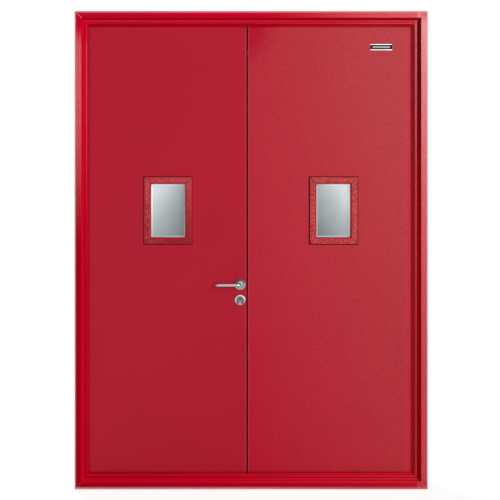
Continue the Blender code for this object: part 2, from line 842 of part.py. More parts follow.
def build_rose(name, outward, face_y, parent, finish):
    """The round rose that the lever's neck turns in."""
    rose = turned_y(name, facing(disc_profile(NECK_RADIUS + RUNNING), outward), closed=True)
    place(rose, (LOCK_X, face_y, LEVER_Z), parent, finish)


def build_escutcheon(name, outward, face_y, parent, finish):
    """The matching round plate over the cylinder, pierced to the cylinder's section."""
    profile = disc_profile(0.0)
    plate = turned_y(name, facing([(KEYWAY_WIDTH / 4, SEAT)] + profile[1:-1]
                                  + [(KEYWAY_WIDTH / 4, profile[-1][1])], outward))
    z = CYLINDER_Z - ESCUTCHEON_DROP
    place(plate, (LOCK_X, face_y, z), parent)
    reach = outward * (ROSE_THICKNESS + LEAF_CLEARANCE)
    low, high = sorted((face_y - reach, face_y + reach))
    cut(plate, cylinder_cutter(low, high))
    plate.data.materials.clear()
    plate.data.materials.append(finish)


def build_cylinder(parent, finish):
    """The lock cylinder, through the leaf from plate to plate, with a keyway at each end."""
    reach = LEAF_THICKNESS / 2 + SEAT + ROSE_THICKNESS - ROSE_DISH + CYLINDER_PROUD
    body = prism_y("lock_cylinder", cylinder_outline(), -reach, reach, smooth=ROUND_ANGLE)
    half_x, half_z = KEYWAY_WIDTH / 2, KEYWAY_HEIGHT / 2
    for outward in (-1, 1):
        low, high = sorted((outward * (reach - KEYWAY_DEPTH), outward * (reach + RUNNING)))
        cut(body, box("keyway", (-half_x, low, -half_z), (half_x, high, half_z)))
    place(body, (LOCK_X, LEAF_MID_Y, CYLINDER_Z), parent, finish)


def lever_stations():
    """Centre points, headings and radii of a lever: neck, collar, bar and return.

    Points are (towards the hinges, out from the leaf); a heading of 90 degrees
    points out from the leaf, and 0 along the bar.
    """
    neck_start = RUNNING
    neck_end = SEAT + ROSE_THICKNESS + RUNNING - ROSE_DISH
    collar_end = neck_end + COLLAR_LENGTH
    bar_out = LEVER_PROJECTION - LEVER_RADIUS
    return_x = LEVER_REACH - LEVER_RADIUS
    end_out = RETURN_CLEARANCE
    stations = [
        (0, neck_start, 90, NECK_RADIUS),
        (0, neck_end, 90, NECK_RADIUS),
        (0, neck_end + SEAT, 90, COLLAR_RADIUS),
        (0, collar_end - SEAT, 90, COLLAR_RADIUS),
        (0, collar_end, 90, COLLAR_RADIUS - SEAT),
        (0, collar_end + SEAT, 90, LEVER_RADIUS),
    ]
    for x, out in arc((LEVER_BEND, bar_out - LEVER_BEND), LEVER_BEND, 180, 90, BEND_SEGMENTS):
        heading = math.degrees(math.atan2(LEVER_BEND - x, out - bar_out + LEVER_BEND))
        stations.append((x, out, heading, LEVER_RADIUS))
    centre = (return_x - RETURN_BEND, bar_out - RETURN_BEND)
    for x, out in arc(centre, RETURN_BEND, 90, 0, BEND_SEGMENTS):
        heading = -math.degrees(math.atan2(x - centre[0], out - centre[1]))
        stations.append((x, out, heading, LEVER_RADIUS))
    stations.append((return_x, end_out + LEVER_END_RADIUS, -90, LEVER_RADIUS))
    stations.append((return_x, end_out + LEVER_END_RADIUS / 3, -90,
                     LEVER_RADIUS - LEVER_END_RADIUS / 3))
    stations.append((return_x, end_out, -90, LEVER_RADIUS - LEVER_END_RADIUS))
    return stations


def build_lever(name, outward, face_y, parent, finish):
    """A round bar lever bent back to the leaf, socketed for the spindle."""
    loops = []
    for x, out, heading, radius in lever_stations():
        turn = math.radians(heading)
        across = (-math.sin(turn), math.cos(turn))
        loops.append([(-(x + across[0] * a), outward * (out + across[1] * a), b)
                      for a, b in circle(radius, TUBE_SIDES)])
    lever = loft(name, loops, smooth=ROUND_ANGLE)
    half = SPINDLE_SIZE / 2 + SEAT
    low, high = sorted((-outward * LEAF_CLEARANCE, outward * SOCKET_DEPTH))
    cut(lever, box("socket", (-half, low, -half), (half, high, half)))
    place(lever, (LOCK_X, face_y, LEVER_Z), parent, finish)


def build_spindle(parent, finish):
    """The square bar that joins the two levers through the lock."""
    reach = LEAF_THICKNESS / 2 + SOCKET_DEPTH - SEAT
    half = SPINDLE_SIZE / 2
    bar = box("lever_spindle", (-half, -reach, -half), (half, reach, half))
    place(bar, (LOCK_X, LEAF_MID_Y, LEVER_Z), parent, finish)


def build_lock_furniture(leaf, lever, steel, brass):
    build_mortise_lock(leaf, steel)
    build_bolt("lock_latch", LATCH_Z, LATCH_LENGTH, LATCH_WIDTH, leaf, brass, LATCH_WIDTH / 3)
    build_bolt("lock_deadbolt", DEADBOLT_Z, DEADBOLT_LENGTH, DEADBOLT_WIDTH, leaf, steel, 0)
    build_cylinder(leaf, brass)
    for label, outward, face_y in (("front", -1, LEAF_FRONT_Y), ("back", 1, LEAF_BACK_Y)):
        build_rose("lever_rose_" + label, outward, face_y, leaf, steel)
        build_escutcheon("cylinder_escutcheon_" + label, outward, face_y, leaf, steel)
        build_lever("lever_" + label, outward, face_y, lever, steel)
    build_spindle(lever, steel)


# Keeps and bolts on the passive leaf


def build_strike(parent, finish):
    """The keep that takes the latch and dead bolt."""
    strike = edge_plate("strike_plate", RIGHT, STRIKE_LENGTH)
    for offset, length, width in bolt_windows():
        cut(strike, bolt_cutter(RIGHT, offset, length, width, BOLT_DEPTH, SEAT))
    strike.data.transform(parent_shift(parent))
    place(strike, parent.location, parent, finish)


def build_flush_bolt(name, centre_z, parent, finish):
    """A flush bolt, drawn back, with a sunk thumb slot in its face."""
    half = FOREND_WIDTH / 2
    body = box(name, (0, -half, -FLUSH_BOLT_LENGTH / 2),
               (BOLT_BODY_DEPTH, half, FLUSH_BOLT_LENGTH / 2))
    slot = stadium(BOLT_THUMB_WIDTH, BOLT_THUMB_LENGTH)
    thumb = loft("thumb_slot", [[(x, y, z) for y, z in slot]
                                for x in (-RUNNING, BOLT_THUMB_DEPTH)])
    cut(body, thumb)
    place(body, (RIGHT_MEETING_X, LOCK_Y, centre_z), parent, finish)


def main():
    clear_scene()
    paint = material("red_paint", RED, 0.42)
    bead = material("red_bead_paint", RED, 0.55)
    steel = material("stainless_steel", (0.62, 0.62, 0.61), 0.28, 1.0)
    brass = material("nickel_brass", (0.55, 0.52, 0.46), 0.35, 1.0)
    seal = material("black_seal", (0.015, 0.015, 0.016), 0.8)
    strip = material("fire_strip", (0.05, 0.05, 0.055), 0.7)
    glass = material("fire_glass", (0.72, 0.78, 0.78), 0.06)

    build_frame(paint)
    build_frame_seals(seal, strip)
    axes = {}
    for name, side in (("left", LEFT), ("right", RIGHT)):
        axis = pivot(name + "_leaf_axis", (hinge_x(side), HINGE_AXIS_Y, 0))
        axes[name] = axis
        build_leaf(name, side, axis, paint)
        build_vision_panel(name, side, axis, bead, glass)
        build_hinges(name, side, axis, steel)
        build_meeting_seal(name, side, axis, seal)
    lever_axis = pivot("lever_axis", (LOCK_X, LEAF_MID_Y, LEVER_Z))
    build_lock_furniture(axes["left"], lever_axis, steel, brass)
    build_strike(axes["right"], steel)
    for label, height in flush_bolt_heights().items():
        build_flush_bolt("flush_bolt_" + label, height, axes["right"], steel)


main()
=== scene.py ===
"""Double fire door: finishes, glazing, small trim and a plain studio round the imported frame.

Metres, +Z up. X runs across the door and the push side faces -Y, where the camera
stands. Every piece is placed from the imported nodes' own boxes.
"""

import json
import math

import bmesh
import bpy
from mathutils import Matrix, Vector

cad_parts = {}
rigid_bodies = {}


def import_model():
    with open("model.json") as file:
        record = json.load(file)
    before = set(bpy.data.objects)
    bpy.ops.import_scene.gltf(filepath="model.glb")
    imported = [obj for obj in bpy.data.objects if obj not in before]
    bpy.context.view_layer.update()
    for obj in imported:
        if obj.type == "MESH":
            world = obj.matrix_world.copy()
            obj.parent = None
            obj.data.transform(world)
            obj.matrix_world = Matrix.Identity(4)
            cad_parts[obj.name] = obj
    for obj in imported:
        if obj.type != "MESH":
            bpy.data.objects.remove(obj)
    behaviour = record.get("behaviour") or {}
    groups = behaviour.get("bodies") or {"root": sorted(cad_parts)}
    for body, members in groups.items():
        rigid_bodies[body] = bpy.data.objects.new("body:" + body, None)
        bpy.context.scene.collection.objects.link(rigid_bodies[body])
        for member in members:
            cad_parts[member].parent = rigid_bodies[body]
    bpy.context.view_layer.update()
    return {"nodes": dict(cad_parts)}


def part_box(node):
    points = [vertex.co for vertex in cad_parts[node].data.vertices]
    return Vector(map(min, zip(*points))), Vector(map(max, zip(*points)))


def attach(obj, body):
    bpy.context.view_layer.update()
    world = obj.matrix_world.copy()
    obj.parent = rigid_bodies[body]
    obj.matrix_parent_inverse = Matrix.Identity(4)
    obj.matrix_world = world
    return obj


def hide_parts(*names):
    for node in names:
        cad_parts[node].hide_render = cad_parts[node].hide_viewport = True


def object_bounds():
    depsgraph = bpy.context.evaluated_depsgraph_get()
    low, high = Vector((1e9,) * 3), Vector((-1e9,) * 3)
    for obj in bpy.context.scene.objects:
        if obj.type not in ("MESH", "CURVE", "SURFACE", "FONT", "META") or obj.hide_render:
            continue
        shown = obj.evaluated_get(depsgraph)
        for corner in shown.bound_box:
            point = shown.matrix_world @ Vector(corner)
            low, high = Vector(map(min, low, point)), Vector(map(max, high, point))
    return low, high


MM = 0.001

# Camera, square on to the door and moved a little to the left of its middle
CAMERA_POINT = (-0.216, -3.3005, 1.282)
CAMERA_LENS = 50
CAMERA_SHIFT = (0.09, -0.07)

# Glazing beads, read outwards from the sight edge
BEAD_INNER_SLOPE = 5 * MM
BEAD_FACE = 26 * MM
BEAD_HEIGHT = 10 * MM
BEAD_STEP = 3 * MM
BEAD_LEG = 3 * MM
BEAD_ROUND = 1.2 * MM
BEAD_MITRE_GAP = 0.5 * MM
GLASS_BITE = 8 * MM
# How far each bead's low and high edge in X is moved from the solid's, after the photograph
BEAD_MOVES = {"left": (0.0, 2.5 * MM), "right": (1.2 * MM, 4.6 * MM)}
EDGE_STRIP_WIDTH = 7 * MM
EDGE_STRIP_RISE = 1.2 * MM
EDGE_STRIP_TIP = 0.15 * MM
SEAT = 0.3 * MM

# The bare plate near the top of the right leaf
PLATE_CENTRE = (0.6233, 2.0812)
PLATE_SIZE = (104 * MM, 28 * MM)
PLATE_RIM = 2.6 * MM
PLATE_DEPTH = 1.6 * MM
PLATE_CORNER = 2.5 * MM
PLATE_BEVEL = 0.4 * MM
FIELD_INSET = 0.5 * MM
FIELD_CORNER = 1.5 * MM
STRIP_CORNER = 1.2 * MM
STRIP_SHARE = (0.80, 0.36)
LAYER_DEPTH = 0.5 * MM
LAYER_BEVEL = 0.1 * MM

# Screws: their heads and sockets, and their places along each plate
SCREW_SIDES = 24
SCREW_RADIUS = 4 * MM
SCREW_PROUD = 0.25 * MM
SCREW_DEPTH = 1.2 * MM
SOCKET_DEPTH = 0.9 * MM
SOCKET_LOBES = 0.14
HINGE_SCREW_ROWS = (-48 * MM, -17 * MM, 17 * MM, 48 * MM)
HINGE_SCREW_SWAY = 4 * MM
EDGE_SCREW_INSET = 9 * MM

# The frame: its folds, read inwards from its outer edge, its right face in X and its opening
FOLD_AT_FACE = 32.5 * MM
FOLD_AT_LEDGE = 38.4 * MM
FOLD_AT_LIP = 49 * MM
STOP_END = 58 * MM
RIGHT_FACE = (0.765, 0.785)
HALF_WAY_UP = 1.0
FRAME_OPENING = {"left": -775 * MM, "right": 775 * MM, "sill": 50 * MM, "head": 2185 * MM}

# The painted highlights on the folds on both sides of the meeting gap
MEETING_X = -15 * MM
FOLD_WIDTH = 10 * MM

# Rose, escutcheon and the ring round the cylinder's plug
DISC_RADIUS = 25 * MM
PLUG_RING_RADIUS = 6.2 * MM

# Soft blocks that close the ends of the meeting gap
BLOCK_DEPTHS = {"left": (14 * MM, 28 * MM), "right": (37.5 * MM, 50 * MM)}
BLOCK_REACH = {"left": 2.6 * MM, "right": 4.4 * MM}
BLOCK_PAST_LEAF = 6 * MM
BLOCK_OVER_LEAF = 6 * MM
BLOCK_LENGTH = 12 * MM
LIP_OVERLAP = 1.2 * MM
LIP_DEPTH = 2.4 * MM

# What the lamps look at
TARGET = (0.0, 0.0, 1.1)

# The floor, which turns from shadowed to plain white between two distances from the door
FLOOR_SIZE = 400
FLOOR_DROP = 1 * MM
SHADOW_WITHIN = 1.2
WHITE_BEYOND = 4.0

LEFT, RIGHT = -1, 1
SIDE_NAMES = {LEFT: "left", RIGHT: "right"}


# Node writing


class Graph:
    """A short way to write the nodes of one material or world."""

    def __init__(self, tree):
        self.tree = tree

    def feed(self, socket, value):
        if isinstance(value, bpy.types.NodeSocket):
            self.tree.links.new(value, socket)
        else:
            socket.default_value = value

    def add(self, kind, inputs=None, **settings):
        made = self.tree.nodes.new("ShaderNode" + kind)
        for name, value in settings.items():
            setattr(made, name, value)
        for key, value in (inputs or {}).items():
            self.feed(made.inputs[key], value)
        return made

    def math(self, operation, first, second=0.0, clamp=False):
        made = self.add("Math", {0: first, 1: second}, operation=operation, use_clamp=clamp)
        return made.outputs[0]

    def plus(self, first, second, clamp=False):
        return self.math("ADD", first, second, clamp)

    def minus(self, first, second, clamp=False):
        return self.math("SUBTRACT", first, second, clamp)

    def times(self, first, second, clamp=False):
        return self.math("MULTIPLY", first, second, clamp)

    def most(self, first, second):
        return self.math("MAXIMUM", first, second)

    def least(self, first, second):
        return self.math("MINIMUM", first, second)

    def absolute(self, value):
        return self.math("ABSOLUTE", value)

    def mix(self, factor, first, second, blend="MIX"):
        made = self.add("Mix", {0: factor, 6: first, 7: second}, data_type="RGBA",
                        blend_type=blend)
        return made.outputs[2]

    def layered(self, colour, *layers):
        """The colour under layers of (share, paint), the last of them on top."""
        for share, layer in layers:
            colour = self.mix(share, colour, layer)
        return colour

    def grey(self, value):
        return self.add("CombineColor", {0: value, 1: value, 2: value}).outputs[0]

    def shaded(self, colour, value):
        """The colour times one value."""
        return self.mix(1.0, colour, self.grey(value), "MULTIPLY")

    def remap(self, value, low, high, out_low=0.0, out_high=1.0, smooth=False):
        made = self.add("MapRange", {0: value, 1: low, 2: high, 3: out_low, 4: out_high},
                        interpolation_type="SMOOTHSTEP" if smooth else "LINEAR")
        return made.outputs[0]

    def spread(self, noise, out_low, out_high):
        """A noise, which stays between about 0.3 and 0.7, carried to a wider range."""
        return self.remap(noise, 0.3, 0.7, out_low, out_high)

    def noise(self, vector, scale, detail=2.0, roughness=0.5):
        made = self.add("TexNoise", {"Vector": vector, "Scale": scale, "Detail": detail,
                                     "Roughness": roughness})
        return made.outputs["Fac"]

    def place(self, coords):
        """The X and the Z of a point."""
        split = self.add("SeparateXYZ", {0: coords})
        return split.outputs["X"], split.outputs["Z"]

    def along(self, vector, direction, offset=0.0):
        """The distance of a point along a direction, plus an offset."""
        made = self.add("VectorMath", {0: vector, 1: direction}, operation="DOT_PRODUCT")
        return self.plus(made.outputs["Value"], offset)

    def length(self, vector):
        return self.add("VectorMath", {0: vector}, operation="LENGTH").outputs["Value"]

    def bump(self, height, distance, strength=1.0, normal=None):
        inputs = {"Height": height, "Distance": distance, "Strength": strength}
        if normal is not None:
            inputs["Normal"] = normal
        return self.add("Bump", inputs).outputs["Normal"]


def start_material(name, roughness, metallic=0.0, specular=0.5):
    """A new material, with its graph, shader and the object's own coordinates."""
    made = bpy.data.materials.new(name)
    made.use_nodes = True
    graph = Graph(made.node_tree)
    shader = made.node_tree.nodes["Principled BSDF"]
    shader.inputs["Roughness"].default_value = roughness
    shader.inputs["Metallic"].default_value = metallic
    shader.inputs["Specular IOR Level"].default_value = specular
    coords = graph.add("TexCoord").outputs["Object"]
    return made, graph, shader, coords


def rgb(red, green, blue):
    return (red, green, blue, 1.0)


# Paint of the leaves

# Painted light that lifts the shade near the head and the right jamb
PAINTED_LIGHT_LIFT = rgb(1.55, 1.45, 1.45)
# Painted shade round the top of the meeting gap
CORNER_PAINTED_SHADE = rgb(0.37, 0.0004, 0.018)
# Painted highlight on the folds beside the meeting gap
FOLD_PAINTED_HIGHLIGHT = rgb(0.58, 0.052, 0.085)
# Painted shadow line along the frame's opening, on the left and on the right
SHADOW_LINE_LEFT = rgb(0.44, 0.0040, 0.020)
SHADOW_LINE_RIGHT = rgb(0.66, 0.0120, 0.042)


def mottle(graph, coords, colour, grain):
    """The colour with fine spray mottling and a broad, faint cloud."""
    fine = graph.spread(graph.noise(coords, 85, 4.0, 0.7), 1 - grain, 1 + grain)
    broad = graph.spread(graph.noise(coords, 2.2, 2.0), 0.985, 1.015)
    return graph.shaded(colour, graph.times(fine, broad))


def toned(graph, coords, dark, light, tone):
    """A colour carried from dark to light along a direction, used as painted light and sheen
    across a leaf; tone is a direction and an offset.
    """
    direction, offset = tone
    share = graph.plus(graph.along(coords, direction, offset), 0.0, clamp=True)
    return graph.mix(share, dark, light)


def shadow_line_share(graph, x, z):
    """1 in the painted shadow line along the frame's opening, left, right and below."""
    right = FRAME_OPENING["right"]
    left = FRAME_OPENING["left"]
    sill = FRAME_OPENING["sill"]
    beyond_right = graph.remap(x, right - 13 * MM, right - 10 * MM, smooth=True)
    beyond_left = graph.remap(x, left + 5 * MM, left + 2 * MM, smooth=True)
    below = graph.remap(z, sill + 12 * MM, sill + 8 * MM, smooth=True)
    return graph.most(beyond_right, graph.most(beyond_left, below))


def painted_light_at_edges(graph, x, z, colour):
    """The colour with painted light towards the head and towards the right jamb, which lifts
    the shade that the frame casts there.
    """
    right = FRAME_OPENING["right"]
    head = FRAME_OPENING["head"]
    near_head = graph.remap(z, head - 30 * MM, head, 0.0, 0.80, smooth=True)
    near_right = graph.remap(x, right - 60 * MM, right - 12 * MM, 0.0, 0.44, smooth=True)
    paler = graph.mix(1.0, colour, PAINTED_LIGHT_LIFT, "MULTIPLY")
    return graph.mix(graph.most(near_head, near_right), colour, paler)


def gap_corner_shade_share(graph, coords, strength):
    """The strength of the painted shade at the top of the meeting gap, fading out round it."""
    corner = (MEETING_X, 0, FRAME_OPENING["head"])
    offset = graph.add("VectorMath", {0: coords, 1: corner}, operation="SUBTRACT")
    flat = graph.add("VectorMath", {0: offset.outputs["Vector"], 1: (1, 0, 0.7)},
                     operation="MULTIPLY")
    patchy = graph.spread(graph.noise(coords, 30, 3.0), -0.02, 0.02)
    away = graph.plus(graph.length(flat.outputs["Vector"]), patchy)
    return graph.remap(away, 0.04, 0.17, strength, 0.0, smooth=True)


def paint(name, dark, light, tone, roughness, specular, peel, grain, gap_corner_shade=0.0):
    """Sprayed red paint, toned with painted light and sheen, with painted highlights, painted
    shade and a painted shadow line; peel is the height of its orange peel, grain its mottling.
    """
    made, graph, shader, coords = start_material(name, roughness, specular=specular)
    colour = toned(graph, coords, dark, light, tone)
    x, z = graph.place(coords)
    if gap_corner_shade:
        corner = gap_corner_shade_share(graph, coords, gap_corner_shade)
        colour = graph.mix(corner, colour, CORNER_PAINTED_SHADE)
    # Painted highlight on the folds beside the meeting gap
    from_fold = graph.absolute(graph.minus(x, MEETING_X))
    fold = graph.remap(from_fold, FOLD_WIDTH * 0.75, FOLD_WIDTH, 0.4, 0.0, smooth=True)
    colour = graph.mix(fold, colour, FOLD_PAINTED_HIGHLIGHT)
    colour = painted_light_at_edges(graph, x, z, colour)
    border = graph.mix(graph.remap(x, 0.70, 0.76), SHADOW_LINE_LEFT, SHADOW_LINE_RIGHT)
    colour = graph.mix(shadow_line_share(graph, x, z), colour, border)
    graph.feed(shader.inputs["Base Color"], mottle(graph, coords, colour, grain))
    graph.feed(shader.inputs["Normal"], graph.bump(graph.noise(coords, 260, 2.0), peel))
    return made


# Paint of the frame

# Painted light and shade of the front faces, deep at the lower left and bright at the upper
# right
FACE_PAINTED_SHADE = rgb(0.305, 0.0004, 0.006)
FACE_PAINTED_LIGHT = rgb(0.50, 0.0005, 0.018)
# Painted light and shade of the slopes: the way to the light, the lit colour, and the shaded
# colours low, high and on the right jamb
SLOPE_LIGHT = (0.75, 0, 0.45)
SLOPE_PAINTED_LIGHT = rgb(0.80, 0.0006, 0.030)
SHADED_FOOT = rgb(0.42, 0.0006, 0.004)
SHADED_TOP = rgb(0.27, 0.0006, 0.005)
SHADED_TOP_RIGHT = rgb(0.20, 0.0030, 0.008)
# Painted light beside the face and on the bend, painted shade under the lip and beside it, and
# painted light on the stop's end, left and right
BESIDE_FACE_PAINTED_LIGHT = rgb(0.60, 0.0010, 0.020)
BEND_PAINTED_HIGHLIGHT = rgb(0.80, 0.0030, 0.026)
UNDER_LIP_PAINTED_SHADE = rgb(0.24, 0.0004, 0.003)
BESIDE_LIP_PAINTED_SHADE = rgb(0.13, 0.0040, 0.008)
END_PAINTED_LIGHT_LEFT = rgb(0.50, 0.0010, 0.018)
END_PAINTED_LIGHT_RIGHT = rgb(0.66, 0.0250, 0.050)
# Painted shade on the jambs' ledges
JAMB_LEDGE_PAINTED_SHADE = rgb(0.33, 0.0006, 0.012)
# Painted sheen: a pale pink over the faces towards the top right, also used for the fold
# highlights and the mitre lines
PAINTED_SHEEN = rgb(0.77, 0.28, 0.28)
# Painted highlight on the frame's outer rim
RIM_PAINTED_HIGHLIGHT = rgb(0.76, 0.30, 0.35)


class FrameZones:
    """Where a point lies on the frame: distances in metres, and parts as shares of 0 or 1."""

    def __init__(self, graph, coords, high):
        self.x, self.z = graph.place(coords)
        self.from_side = graph.minus(high.x, graph.absolute(self.x))
        self.from_end = graph.least(self.z, graph.minus(high.z, self.z))
        self.inwards = graph.least(self.from_side, self.from_end)
        self.normal = graph.add("NewGeometry").outputs["Normal"]
        forward = graph.add("SeparateXYZ", {0: self.normal}).outputs["Y"]
        self.face = graph.remap(graph.absolute(forward), 0.45, 0.9, smooth=True)
        self.jambs = graph.math("LESS_THAN", self.from_side, self.from_end)
        to_right = graph.math("GREATER_THAN", self.x, 0.0)
        self.right_jamb = graph.times(self.jambs, to_right)
        upper = graph.math("GREATER_THAN", self.z, HALF_WAY_UP)
        self.head = graph.minus(upper, self.jambs, clamp=True)
        lower = graph.math("LESS_THAN", self.z, HALF_WAY_UP)
        self.sill = graph.minus(lower, self.jambs, clamp=True)


def slope_colour(graph, zones):
    """The slopes between the frame's faces, with painted light towards the light and painted
    shade away from it, painted highlights beside the face, on the bend and on the stop's end,
    and painted shade under the lip and beside it.
    """
    shaded_top = graph.mix(zones.right_jamb, SHADED_TOP, SHADED_TOP_RIGHT)
    shaded = graph.mix(graph.remap(zones.z, 1.3, 1.9, smooth=True), SHADED_FOOT, shaded_top)
    facing = graph.along(zones.normal, SLOPE_LIGHT)
    colour = graph.mix(graph.remap(facing, -0.75, 0.5), shaded, SLOPE_PAINTED_LIGHT)

    inwards = zones.inwards
    by_face = graph.times(graph.remap(inwards, 32.2 * MM, 33.8 * MM, 0.8, 0.0), zones.head)
    bend = graph.times(graph.remap(inwards, 35.2 * MM, 38.2 * MM, smooth=True), zones.head)
    bend = graph.times(bend, graph.remap(inwards, 44 * MM, 48 * MM, 1.0, 0.12))
    under_lip = graph.times(graph.remap(inwards, 48.5 * MM, 49.5 * MM, 0.0, 0.8), zones.head)
    beside_lip = graph.times(graph.remap(inwards, 49.8 * MM, 50.4 * MM, 0.0, 0.8),
                             graph.remap(inwards, 53 * MM, 55 * MM, 1.0, 0.0))
    beside_lip = graph.times(beside_lip, zones.right_jamb)
    stop_end = graph.remap(inwards, STOP_END - 0.8 * MM, STOP_END - 0.3 * MM)
    end_colour = graph.mix(graph.remap(zones.x, -0.4, 0.5), END_PAINTED_LIGHT_LEFT, END_PAINTED_LIGHT_RIGHT)
    return graph.layered(colour, (by_face, BESIDE_FACE_PAINTED_LIGHT), (bend, BEND_PAINTED_HIGHLIGHT),
                         (under_lip, UNDER_LIP_PAINTED_SHADE), (beside_lip, BESIDE_LIP_PAINTED_SHADE),
                         (stop_end, end_colour))


def face_colour(graph, zones):
    """The faces that look to the front, with painted light that is brighter towards the top
    right.
    """
    share = graph.most(graph.remap(zones.z, 1.0, 2.15, smooth=True),
                       graph.remap(zones.x, -0.8, 0.9, 0.0, 0.65))
    return graph.mix(share, FACE_PAINTED_SHADE, FACE_PAINTED_LIGHT)


def sheen_share(graph, zones):
    """How much painted sheen a face has: more to the top right, most on the right jamb."""
    on_right = graph.remap(zones.x, *RIGHT_FACE, smooth=True)
    on_left = graph.remap(zones.x, -0.72, -0.78, smooth=True)
    above_sill = graph.remap(zones.z, 0.02, 2.2, 0.05, 1.0)
    towards_right = graph.remap(zones.x, 0.05, 0.90, 0.0, 0.34, smooth=True)

    upright = graph.plus(graph.math("POWER", above_sill, 3.0), 0.26)
    right_jamb = graph.times(on_right, graph.times(upright, 0.74))
    from_corner = graph.most(zones.from_side, zones.from_end)
    out_of_corner = graph.remap(from_corner, 18 * MM, 60 * MM, 0.45, 1.0, smooth=True)
    right_jamb = graph.times(right_jamb, out_of_corner)

    tall = graph.remap(zones.z, 1.1, 1.9, smooth=True)
    below_corner = graph.remap(zones.z, 2.17, 2.06, smooth=True)
    left_patch = graph.times(graph.times(tall, below_corner), on_left)
    sheen = graph.most(graph.times(towards_right, above_sill), graph.times(left_patch, 0.32))
    return graph.most(sheen, right_jamb)


def mitre_share(graph, zones):
    """The pale line of the mitre in the upper corners, on the outer face alone."""
    apart = graph.absolute(graph.minus(zones.from_side, zones.from_end))
    line = graph.times(graph.remap(apart, 0.6 * MM, 2.4 * MM, 0.36, 0.0, smooth=True),
                       graph.remap(zones.z, 1.5, 2.0))
    return graph.times(line, graph.remap(zones.inwards, 31 * MM, 34 * MM, 1.0, 0.0))


def face_cover(graph, zones, sheen):
    """The cover of the painted sheen on the outer face and the right jamb's ledge, and of the
    pale mitre lines.
    """
    on_right = graph.remap(zones.x, *RIGHT_FACE, smooth=True)
    right_ledge = graph.times(on_right,
                              graph.remap(zones.inwards, 40 * MM, 42 * MM, 0.0, 0.82))
    outer_face = graph.remap(zones.inwards, 32 * MM, 35 * MM, 1.0, 0.06)
    covered = graph.times(sheen, graph.most(outer_face, right_ledge))
    return graph.times(graph.most(covered, mitre_share(graph, zones)), zones.face)


def ridge_covers(graph, zones, sheen):
    """Painted highlights: the thin pale lines on the three folds that catch the light."""
    lit = graph.most(graph.remap(zones.z, 0.9, 2.1, 0.01, 0.12),
                     graph.remap(zones.x, -0.4, 0.8, 0.0, 0.13))
    lit = graph.most(sheen, lit)
    not_jambs = graph.minus(1.0, zones.jambs)
    not_left_of_head = graph.most(graph.minus(1.0, zones.head),
                                  graph.remap(zones.x, -0.1, 0.5, 0.1, 1.0, smooth=True))
    covers = []
    for fold, where in ((FOLD_AT_FACE, zones.sill), (FOLD_AT_LEDGE, not_jambs),
                        (FOLD_AT_LIP, not_left_of_head)):
        beside = graph.absolute(graph.minus(zones.inwards, fold))
        ridge = graph.remap(beside, 0.8 * MM, 2.6 * MM, 0.85, 0.0, smooth=True)
        covers.append(graph.times(graph.times(ridge, where), lit))
    return covers


def rim_highlight_share(graph, zones, high):
    """The painted highlight on the frame's outer rim, fainter at the sill's right end."""
    sill_rim = graph.times(graph.remap(zones.z, 4 * MM, 15 * MM, 0.76, 0.0, smooth=True),
                           graph.remap(zones.x, -0.1, 0.6, 1.0, 0.55, smooth=True))
    head_rim = graph.remap(zones.z, high.z - 12 * MM, high.z - 2 * MM, 0.0, 0.60, smooth=True)
    side_rim = graph.remap(zones.from_side, 2 * MM, 9 * MM, 0.66, 0.0, smooth=True)
    rim = graph.most(side_rim, graph.most(sill_rim, head_rim))
    return graph.times(rim, zones.face)


def frame_paint(name, high):
    """The frame's paint, with painted light and shade on its faces, slopes and ledges, painted
    sheen on the faces towards the top right, and painted highlights on its folds and rims.
    """
    made, graph, shader, coords = start_material(name, 0.36, specular=0.02)
    zones = FrameZones(graph, coords, high)
    colour = graph.mix(zones.face, slope_colour(graph, zones), face_colour(graph, zones))
    # Painted shade on the jambs' ledges
    jamb_ledge = graph.times(graph.remap(zones.inwards, 37 * MM, 40 * MM, 0.0, 0.8),
                             zones.jambs)
    colour = graph.mix(graph.times(jamb_ledge, zones.face), colour, JAMB_LEDGE_PAINTED_SHADE)

    # Painted sheen on the faces and painted highlights on the folds and the outer rim
    sheen = sheen_share(graph, zones)
    cover = face_cover(graph, zones, sheen)
    for ridge in ridge_covers(graph, zones, sheen):
        cover = graph.most(cover, ridge)
    speckle = graph.spread(graph.noise(coords, 160, 3.0), 0.7, 1.3)
    cover = graph.times(cover, speckle, clamp=True)
    colour = graph.layered(colour, (cover, PAINTED_SHEEN), (rim_highlight_share(graph, zones, high), RIM_PAINTED_HIGHLIGHT))

    graph.feed(shader.inputs["Base Color"], mottle(graph, coords, colour, 0.03))
    peel = graph.bump(graph.noise(coords, 260, 2.0), 0.06 * MM)
    graph.feed(shader.inputs["Normal"],
               graph.bump(graph.noise(coords, 14, 1.0), 0.5 * MM, 0.5, peel))
    return made


# Paint of the glazing beads

# Painted sheen on the beads' grain
BEAD_PAINTED_SHEEN = rgb(0.58, 0.12, 0.12)
BEAD_JOINT = rgb(0.17, 0.002, 0.006)
# Painted light on the beads' inner slope and painted shade on their outer slope
BEAD_INNER_PAINTED_LIGHT = rgb(0.42, 0.001, 0.015)
BEAD_EDGE_PAINTED_SHADE = rgb(0.17, 0.0008, 0.003)
# The low and high colour of a bead's face, painted lighter at the top on the left bead; the
# colour of its right edge, painted light on the left bead and painted shade on the right one;
# and how much of its painted sheen stays below
BEAD_COLOURS = {
    LEFT: (rgb(0.24, 0.001, 0.008), rgb(0.345, 0.018, 0.030), rgb(0.42, 0.001, 0.008), 0.25),
    RIGHT: (rgb(0.345, 0.010, 0.016), rgb(0.33, 0.012, 0.014), BEAD_EDGE_PAINTED_SHADE, 1.0),
}


